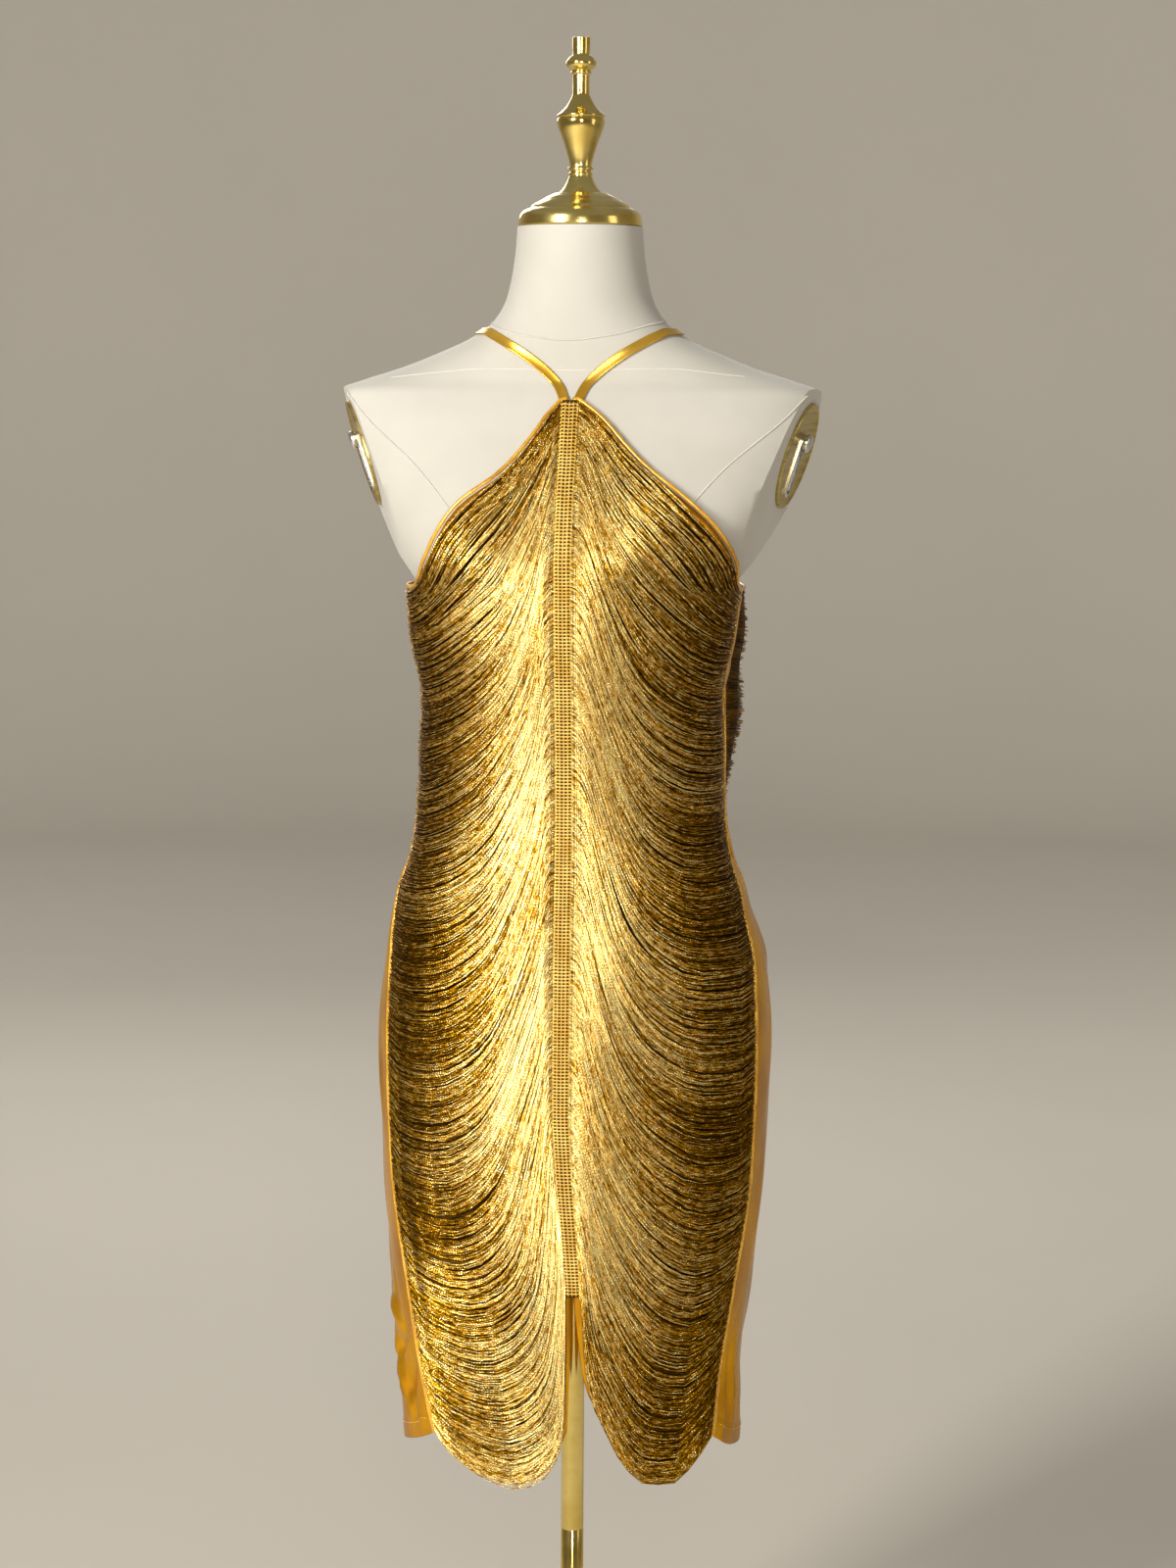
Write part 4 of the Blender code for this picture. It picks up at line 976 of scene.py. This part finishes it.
def dashes(name, place, away, long, gap, radius, material):
    """A row of small stitches along a line."""
    length = run(place)
    starts = np.arange(gap, length[-1] - long, long + gap)
    t = np.linspace(0.0, 1.0, 5)
    at = starts[:, None] + t * long
    paths = along_line(at, length, place)
    outs = along_line(at, length, away)
    paths = paths + outs * (radius * 1.6 * np.sin(t * math.pi) - radius * 0.4)[None, :, None]
    return cords(name, paths, outs, radius * np.array((0.6, 1, 1, 1, 0.6)), 4, material)


def quarter_places(quarter, across, row):
    """Angle from the quarter's middle and height of its satin panel's points."""
    t = np.linspace(0.0, 1.0, 81)
    share, low_z = quarter.swag(np.ones_like(t), t)
    low = SLIT_TOP - (SLIT_TOP - low_z) * (SATIN_INSIDE + (1 - SATIN_INSIDE) * share**3)
    low = np.interp(across, share, low)
    first_across, top_z = quarter.swag(np.zeros_like(t), t)
    first = quarter.middle(top_z, BRAID_HALF_WIDTH)
    at = first + (side_edge(top_z, quarter.lobe) - first) * first_across
    last = side_edge(np.array(UNDERARM), quarter.lobe)
    high = np.interp(across * last, at, top_z + EDGE_ABOVE)
    z = low + (high - low) * row
    first = quarter.middle(z, GAP / 2)
    edge = side_edge(z, quarter.lobe)
    last = edge - turn_for(GAP / 2, quarter.angle(edge), z)
    return first + (last - first) * across, z


def satin_quarter(quarter):
    """The satin under one quarter's fringe, down to its curved hem and the slit."""
    across = np.linspace(0.0, 1.0, 30)[None, :]
    row = np.linspace(0.0, 1.0, 110)[:, None]
    angle, z = quarter_places(quarter, across + 0 * row, row + 0 * across)
    place, away = body_face(quarter.angle(angle), z)
    u = np.radians(angle) * np.linalg.norm(place[..., :2], axis=-1)
    table = ((0.045, 0.46, 84.0, 0.05, 0.012, -0.0012), (0.09, 0.44, 96.0, 0.05, 0.012, 0.0007))
    lift = creased(u, z, table) * np.clip((1 - across) / 0.15, 0, 1)
    grid = place + away * np.minimum(lift, 0.0007)[..., None]
    size = np.stack([u, z], axis=-1)
    thing = sheet_piece(f"satin_{quarter.name}", grid, size, SATIN, quarter.flip, WALL)
    cloth(thing, "satin", f"panel_{quarter.name}")


def neck_edge(sign):
    """The bound edge from the front's top, along the neckline and under the arm to the back."""
    front, back = (q for q in QUARTERS if q.sign == sign)
    share = np.linspace(0.0, 1.0, 60)
    angle, z = quarter_places(front, share, np.ones_like(share))
    across = np.linspace(-1.0, 1.0, 17)[1:-1]
    side_angle, side_z = side_place(sign, across, np.ones_like(across))
    rear_angle, rear_z = quarter_places(back, share[::-1], np.ones_like(share))
    angle = np.concatenate([angle, side_angle, 180.0 - rear_angle])
    z = np.concatenate([z, side_z, rear_z])
    place, away = body_face(sign * angle, z)
    up = unit(np.cross(away, np.gradient(place, axis=0)) * -sign)
    up = np.where(up[:, 2:3] > 0, up, -up)
    route = place + away * 0.0008 + up * (PIPING_RADIUS + 2 * GAP)
    for end in (0, -1):
        room = PIPING_RADIUS + GAP - abs(route[end, 0])
        route[end, 0] += sign * max(0.0, room)
    return route, away, up


def neck_binding(sign):
    """A narrow folded binding, flatter than round."""
    word = WORD[sign]
    route, away, up = neck_edge(sign)
    sides, flat, high = 12, 0.0011, 0.0016
    turn = np.linspace(0.0, 2 * math.pi, sides, endpoint=False)
    ripple = 1 + 0.10 * np.sin(np.arange(len(route)) * 2.3)[:, None, None]
    ring = (
        away[:, None, :] * np.cos(turn)[:, None] * flat
        + up[:, None, :] * np.sin(turn)[:, None] * high
    ) * ripple
    points = route[:, None, :] + ring
    index = np.arange(points.shape[0] * sides).reshape(-1, sides)
    faces = grid_faces(*index.shape, sign > 0, True)
    thing = mesh_piece(f"binding_{word}", points, faces, BINDING)
    work = opened(thing)
    for ring_index in (index[0], index[-1]):
        work.faces.new([work.verts[i] for i in ring_index])
    bmesh.ops.recalc_face_normals(work, faces=work.faces[:])
    saved(work, thing)
    rides(thing, "satin_binding", f"neck_binding_{word}")


def side_piping(quarter):
    """Two fine cords side by side over the seam along the fringe's side edge."""
    top = UNDERARM - EDGE_ABOVE
    low = float(quarter_places(quarter, np.ones(1), np.zeros(1))[1][0])
    z = np.linspace(low, top, 170)
    wobble = 0.00025 * np.sin(z * 260.0) + 0.0002 * np.sin(z * 97.0 + 1.0)
    edge = side_edge(z, quarter.lobe)
    paths, outs = [], []
    for aside in (-0.0011, 0.0011):
        turn = turn_for(aside + wobble, edge, z)
        place, away = body_face(quarter.angle(edge + turn), z)
        paths.append(place + away * 0.0013)
        outs.append(away)
    thing = cords(
        f"seam_cord_{quarter.name}", np.array(paths), np.array(outs), 0.00115, 8, BINDING
    )
    rides(thing, "satin_binding", f"piping_{quarter.name}")


# The fringe

# Wisps: cycles down the braid, how far they lean along the threads, strength
WISPS = ((37, 1.7, 0.18), (83, -1.9, 0.34), (151, 2.4, 0.50), (263, -3.1, 0.55))


def spread(quarter, count):
    """Shares down the braid, closer together where the strands lie further apart."""
    share = np.linspace(0.0, 1.0, 400)
    t = np.linspace(0.0, 1.0, 15)
    place, _ = quarter.strand(share[:, None], t[None, :], 0.005, BRAID_HALF_WIDTH, FRINGE_STOP)
    step = np.linalg.norm(np.diff(place, axis=0), axis=-1).max(axis=1)
    total = np.concatenate([[0.0], np.cumsum(0.35 * step.mean() + step)])
    total /= total[-1]
    lowest = count // 22
    even = (np.arange(count - lowest) + rng.uniform(0.0, 1.0, count - lowest)) / (count - lowest)
    return np.concatenate([np.interp(even, total, share), rng.uniform(0.975, 1.0, lowest)])


def wisps(share, t):
    """How far along the braid's share strands drift together into wisps."""
    shift = np.zeros(np.broadcast(share, t).shape)
    for cycles, lean, gain in WISPS:
        phase = rng.uniform(0, 2 * math.pi)
        wave = np.sin(2 * math.pi * (cycles * share + lean * t) + phase)
        shift = shift + gain * wave / (2 * math.pi * cycles)
    return shift * np.clip(t * 3.5, 0.0, 1.0)


def fringe(quarter, count, steps):
    """All the threads of one quarter, in layers that drift into wisps."""
    share = spread(quarter, count)
    even = np.linspace(0.0, 1.0, steps)[None, :]
    even = even + rng.uniform(-0.4, 0.4, (count, 1)) / steps * np.sin(math.pi * even)
    s, tt = np.broadcast_arrays(share[:, None], even**1.3)
    layer = rng.uniform(0.0, 1.0, count)
    stray = (rng.uniform(0, 1, count) < 0.06) * rng.normal(0.0, 1.0, count)
    own = rng.normal(0.0, 0.0016, count)[:, None] + 0.005 * stray[:, None] * tt
    moved = np.clip(s + wisps(s, tt) + own * np.clip(tt * 4, 0, 1), 0.0, 1.0)
    sag = (rng.normal(0.0, 0.0012, count) + 0.002 * stray)[:, None] * np.sin(math.pi * tt)
    loose = np.clip((share - 0.93) / 0.07, 0.0, 1.0) * rng.uniform(-0.2, 1.0, count)
    sag = sag + 0.0016 * loose[:, None] * np.sin(math.pi * tt ** 0.8)
    sag = sag + TOP_CLEARANCE * np.exp(-s / 0.012)
    rise = np.clip(tt / 0.07, 0.0, 1.0)
    fall = np.clip((1.0 - tt) / 0.10, 0.0, 1.0)
    wave = 0.0005 * np.sin(2 * math.pi * (tt * rng.uniform(1.0, 2.6, count)[:, None]
                                          + rng.uniform(0, 1, count)[:, None]))
    out = 0.0030 + 0.0042 * layer[:, None] + wave
    out = 0.0018 + (out - 0.0018) * (0.25 + 0.75 * fall) * (0.60 + 0.40 * rise)
    start = BRAID_HALF_WIDTH - 0.0006
    place, away = quarter.strand(moved, tt, out, start, FRINGE_STOP, sag)
    thick = rng.uniform(0.00046, 0.00062, count)[:, None]
    ends = 0.55 + 0.45 * np.clip(np.minimum(tt, 1 - tt) / 0.02, 0, 1)
    # Painted shade: threads of the lower layers, nearer the satin, get a darker tone. The normal
    # term is a tone that differs at random.
    tone = 0.20 + 0.46 * layer + rng.normal(0.0, 0.13, count)
    # Painted light in the tone: the fans where threads leave the braid, and a lighter band about a
    # third of the way out from it, are painted highlights. The ends by the side seams are darkened
    # as painted shade. The sines are broad bands of tone, and threads are darker near the top of
    # the braid.
    tone_bands_and_painted_light = 0.08 * np.sin(s * 23.0 + tt * 3.0 + quarter.sign) + 0.06 * np.sin(s * 57.0 - tt * 4.0)
    painted_fan_highlight = np.exp(-((tt / 0.16) ** 2)) * np.clip((s + tt * 0.2) / 0.10, 0.0, 1.0)
    tone_bands_and_painted_light = tone_bands_and_painted_light + 0.26 * painted_fan_highlight + 0.22 * np.exp(-(((tt - 0.38) / 0.24) ** 2))
    tone_bands_and_painted_light = tone_bands_and_painted_light - 0.24 * np.clip((tt - 0.66) / 0.2, 0.0, 1.0)
    tone_bands_and_painted_light = tone_bands_and_painted_light - 0.22 * np.exp(-((s / 0.07) ** 2)) * np.exp(-((tt / 0.45) ** 2))
    # Painted light and shade on the lower lobes: lightened as painted light at -X, darkened as
    # painted shade at +X.
    lobe = np.clip((s - 0.82) / 0.15, 0.0, 1.0)
    tone_bands_and_painted_light = tone_bands_and_painted_light + lobe * (0.20 if quarter.sign < 0 else -0.24)
    tone = np.clip(tone[:, None] + tone_bands_and_painted_light, 0.02, 0.98)
    thing = cords(f"fringe_threads_{quarter.name}", place, away, thick * ends, 3, GOLD_THREAD, tone)
    return rides(thing, "fringe", f"fringe_{quarter.name}")


def fringe_bed(quarter):
    """The lower layer of threads that shows between the upper ones, painted near-black as painted
    shade.
    """
    share = np.linspace(0.0, 0.992, 150)[:, None]
    t = np.linspace(0.0, 1.0, 26)[None, :]
    s, tt = np.broadcast_arrays(share, t)
    out = 0.0013 + 0.0007 * np.sin(s * 700.0) * np.sin(math.pi * tt)
    lower = TOP_CLEARANCE * np.exp(-s / 0.012)
    place, _ = quarter.strand(s, tt, out, BRAID_HALF_WIDTH - 0.001, FRINGE_STOP, lower)
    faces = grid_faces(*s.shape, not quarter.flip)
    uv = np.stack([tt * 12.0, s * 420.0], axis=-1).reshape(-1, 2)[faces]
    tone = np.stack([0.5 + 0.3 * np.sin(s * 611.0), s], axis=-1).reshape(-1, 2)[faces]
    thing = mesh_piece(
        f"fringe_bed_{quarter.name}", place, faces, PAINTED_SHADE_BED, {"thread": uv, "tone": tone}
    )
    return rides(walled(thing, 0.0007, 0.0), "fringe")


def braid(quarter):
    """One gimp header: a low band painted near-black as painted shade under the cords, close
    crosswise cords looped at the outer edge, and two lines of chain stitch."""
    top, low = quarter.braid[0] + 0.002, quarter.braid[1] - 0.001
    z = np.linspace(low, top, 240)[:, None]
    aside = np.linspace(GAP / 2, BRAID_HALF_WIDTH, 7)[None, :]
    zz, aa = np.broadcast_arrays(z, aside)
    share = aa / BRAID_HALF_WIDTH
    out = 0.0046 + 0.0006 * np.sin(math.pi * np.clip(share, 0.05, 0.95))
    place, away = quarter.beside(aa, zz)
    grid, size = place + away * out[..., None], np.stack([aa, zz], axis=-1)
    band = sheet_piece(f"braid_band_{quarter.name}", grid, size, GIMP_SHADE_BAND, quarter.flip, 0.0016)
    rides(band, "fringe")
    pitch, link = BRAID_PITCH, CHAIN_LINK
    rows = np.arange(low + pitch, top - pitch / 2, pitch)
    t = np.linspace(0.0, 1.0, 5)
    reach = 0.0006 + rng.normal(0, 0.0001, len(rows))
    aside = GAP + t[None, :] * (BRAID_HALF_WIDTH + reach[:, None])
    height = rows[:, None] + 0.0003 * np.sin(t * 2.2)[None, :]
    lift = 0.0050 + 0.0005 * np.sin(math.pi * t)[None, :] - 0.0011 * (t[None, :] > 0.93)
    place, away = quarter.beside(aside, height)
    bars = cords(
        f"braid_bars_{quarter.name}", place + away * (lift + 0 * aside)[..., None], away,
        0.00064, 5, GIMP,
    )
    turn = np.linspace(-math.pi / 2, math.pi / 2, 5)
    aside = BRAID_HALF_WIDTH - 0.0002 + 0.0010 * np.cos(turn)[None, :]
    height = rows[:, None] + pitch * 0.30 * np.sin(turn)[None, :]
    place, away = quarter.beside(aside + 0 * height, height)
    loops = cords(
        f"braid_loops_{quarter.name}", place + away * 0.0049, away, 0.00050, 4, GIMP
    )
    stitched = []
    for number, line in enumerate((CHAIN_LINE,) if quarter.sign < 0 else (0.0, CHAIN_LINE)):
        spots = np.arange(low + link, top - link, link)
        t = np.linspace(-0.56, 0.56, 5)
        for tilt in (-1, 1):
            height = spots[:, None] + t[None, :] * link
            aside = line + tilt * 0.00032 * np.cos(t * math.pi)[None, :] + 0 * height
            place, away = quarter.beside(aside, height)
            rise = 0.0059 + 0.0003 * np.cos(t * math.pi)[None, :] + 0 * height
            stitched.append(cords(
                f"chain_{quarter.name}_{number}_{tilt}", place + away * rise[..., None], away,
                0.00036, 3, STITCH,
            ))
    joined = join(f"braid_cords_{quarter.name}", [bars, loops])
    rides(joined, "fringe")
    chain = join(f"braid_chain_{quarter.name}", stitched)
    rides(chain, "fringe")


# The strap


def halter_strap():
    """A flat ribbon from the neckline round the nape, softly cupped and turned at the front."""
    half = STRAP_ROUTE
    whole = np.concatenate([half[:-1] * (-1, 1, 1), half[::-1]])
    places = np.linspace(0.0, 1.0, len(whole))
    t = np.linspace(0.0, 1.0, 260)
    route = np.stack([curve(places, whole[:, i], t) for i in range(3)], axis=-1)
    # the route's own angle and height, laid on the form's face
    angle = np.degrees(np.arctan2(route[:, 0], -route[:, 1]))
    seat, away = body_face(angle, route[:, 2], False)
    across = unit(np.cross(unit(np.gradient(seat, axis=0)), away))
    share = np.linspace(-0.5, 0.5, 9)
    edge = seat[:, None, :] + across[:, None, :] * (share * STRAP_WIDTH)[None, :, None]
    foot_angle = np.degrees(np.arctan2(edge[..., 0], -edge[..., 1]))
    foot, out = body_face(foot_angle, edge[..., 2], False)
    end = np.minimum(t, 1 - t)
    stand_off = 0.0016 + 0.0022 * np.exp(-((end / 0.03) ** 2))
    cup = 0.0004 * (2 * share) ** 2
    grid = foot + out * (stand_off[:, None] + cup[None, :])[..., None]
    tip = np.exp(-((end / 0.012) ** 2))[:, None, None]
    grid = grid + tip * (seat[:, None, :] - foot) * 0.25
    length = run(seat)
    size = np.stack(np.broadcast_arrays(length[:, None], share[None, :] * STRAP_WIDTH), axis=-1)
    thing = sheet_piece("strap_ribbon", grid, size[..., ::-1], RIBBON, True, 0.0008, 1.0)
    cloth(thing, "satin_ribbon", "halter_strap")


# Floor, lights and camera


def plain(name, colour, roughness):
    n = Nodes(name)
    wide = n.noise(n.place(), 1.3, 3.0)
    low = tuple(c * 0.97 for c in colour)
    n.colour(n.ramp(wide, ((0.3, low), (0.7, colour))))
    n.rough(n.range(wide, 0.3, 0.7, roughness - 0.05, roughness + 0.05))
    n.set(Specular_IOR_Level=0.3)
    return n.material


def stage():
    """A round pale floor that curves up into a plain wall."""
    profile = [(0.0, 0.0), (0.0, 2.0), (0.0, 6.0)]
    profile += [
        (1.6 - 1.6 * math.cos(a), 6.0 + 1.6 * math.sin(a))
        for a in np.linspace(0.1, math.pi / 2, 12)
    ]
    profile += [(3.0, 7.6), (5.5, 7.6)]
    floor = turned("floor", profile, 0.0, 96, plain("pale_floor", (0.60, 0.56, 0.49), 0.7))
    floor.data.flip_normals()


def light(name, place, aim, size, power, colour):
    lamp = bpy.data.lights.new(name, "AREA")
    lamp.shape = "RECTANGLE"
    lamp.size, lamp.size_y = size
    lamp.energy = power
    lamp.color = colour
    thing = bpy.data.objects.new(name, lamp)
    bpy.context.scene.collection.objects.link(thing)
    thing.location = place
    thing.rotation_euler = (Vector(aim) - Vector(place)).to_track_quat("-Z", "Y").to_euler()
    thing.visible_camera = False


def lights():
    light("key", (-1.7, -2.7, 2.1), (0.0, 0.0, 0.95), (0.6, 1.5), 150.0, (1.0, 0.97, 0.91))
    light("front", (0.5, -3.6, 1.5), (0.0, 0.0, 0.9), (0.5, 1.6), 48.0, (1.0, 0.98, 0.94))
    light("fill", (2.6, -1.0, 1.5), (0.0, 0.0, 0.9), (0.7, 2.0), 7.0, (1.0, 0.86, 0.70))
    light("back", (-0.8, 2.8, 2.3), (0.0, 0.0, 1.0), (1.6, 1.2), 24.0, (1.0, 0.98, 0.96))
    for word, side in (("left", -1), ("right", 1)):
        light(f"wall_{word}", (side * 2.6, 2.2, 2.8), (side * 0.8, 7.5, 0.8), (2.0, 1.5), 42.0,
              (1.0, 0.99, 0.97))
    world = bpy.data.worlds.new("room")
    bpy.context.scene.world = world
    world.use_nodes = True
    world.node_tree.nodes["Background"].inputs[0].default_value = (0.96, 0.92, 0.86, 1.0)
    world.node_tree.nodes["Background"].inputs[1].default_value = 0.25
    bpy.context.scene.view_settings.view_transform = "Standard"


def camera():
    """At the photograph's angle: 2.5 m off, 7.3 degrees down, 5.5 degrees to the wearer's left."""
    # in pixels of a picture 1600 high and 1200 wide
    focal, below, long_side, middle, axis = 3151.0, 405, 1600, 600, 588.6
    distance, height = 2.5, 1.225
    pitch, yaw, roll = math.atan(below / focal), math.radians(5.5), math.radians(0.36)
    lens = bpy.data.cameras.new("camera")
    thing = bpy.data.objects.new("camera", lens)
    bpy.context.scene.collection.objects.link(thing)
    lens.sensor_fit = "AUTO"
    lens.sensor_width = 36.0
    lens.lens = 36.0 * focal / long_side
    lens.shift_x = (middle - axis) / long_side
    thing.location = (distance * math.sin(yaw), -distance * math.cos(yaw), height)
    turn = Euler((math.pi / 2 - pitch, 0, yaw)).to_matrix() @ Euler((0, 0, roll)).to_matrix()
    thing.rotation_euler = turn.to_euler()
    bpy.context.scene.camera = thing


camera()
stage()
lights()
form_cover()
form_seams()
neck_cap()
for side in (-1, 1):
    arm_fitting(side)
stand()
halter_strap()
sides = {}
for sign in (-1, 1):
    sides[sign] = satin_side(sign)
    neck_binding(sign)
for quarter in QUARTERS:
    satin_quarter(quarter)
    side_piping(quarter)
    fringe_bed(quarter)
    braid(quarter)
    fringe(quarter, *THREADS["back" if quarter.back else "front"])
for sign, (grid, away) in sides.items():
    word = WORD[sign]
    rows = grid[:, :, 2]
    level = np.abs(rows - (rows[0] + HEM_STITCHES)[None, :]).argmin(axis=0)
    pick = np.arange(grid.shape[1])
    line, out = grid[level, pick][2:-2], away[level, pick][2:-2]
    rides(dashes(f"hem_stitches_{word}", line, out, 0.0026, 0.0011, 0.00026, STITCH), "satin")
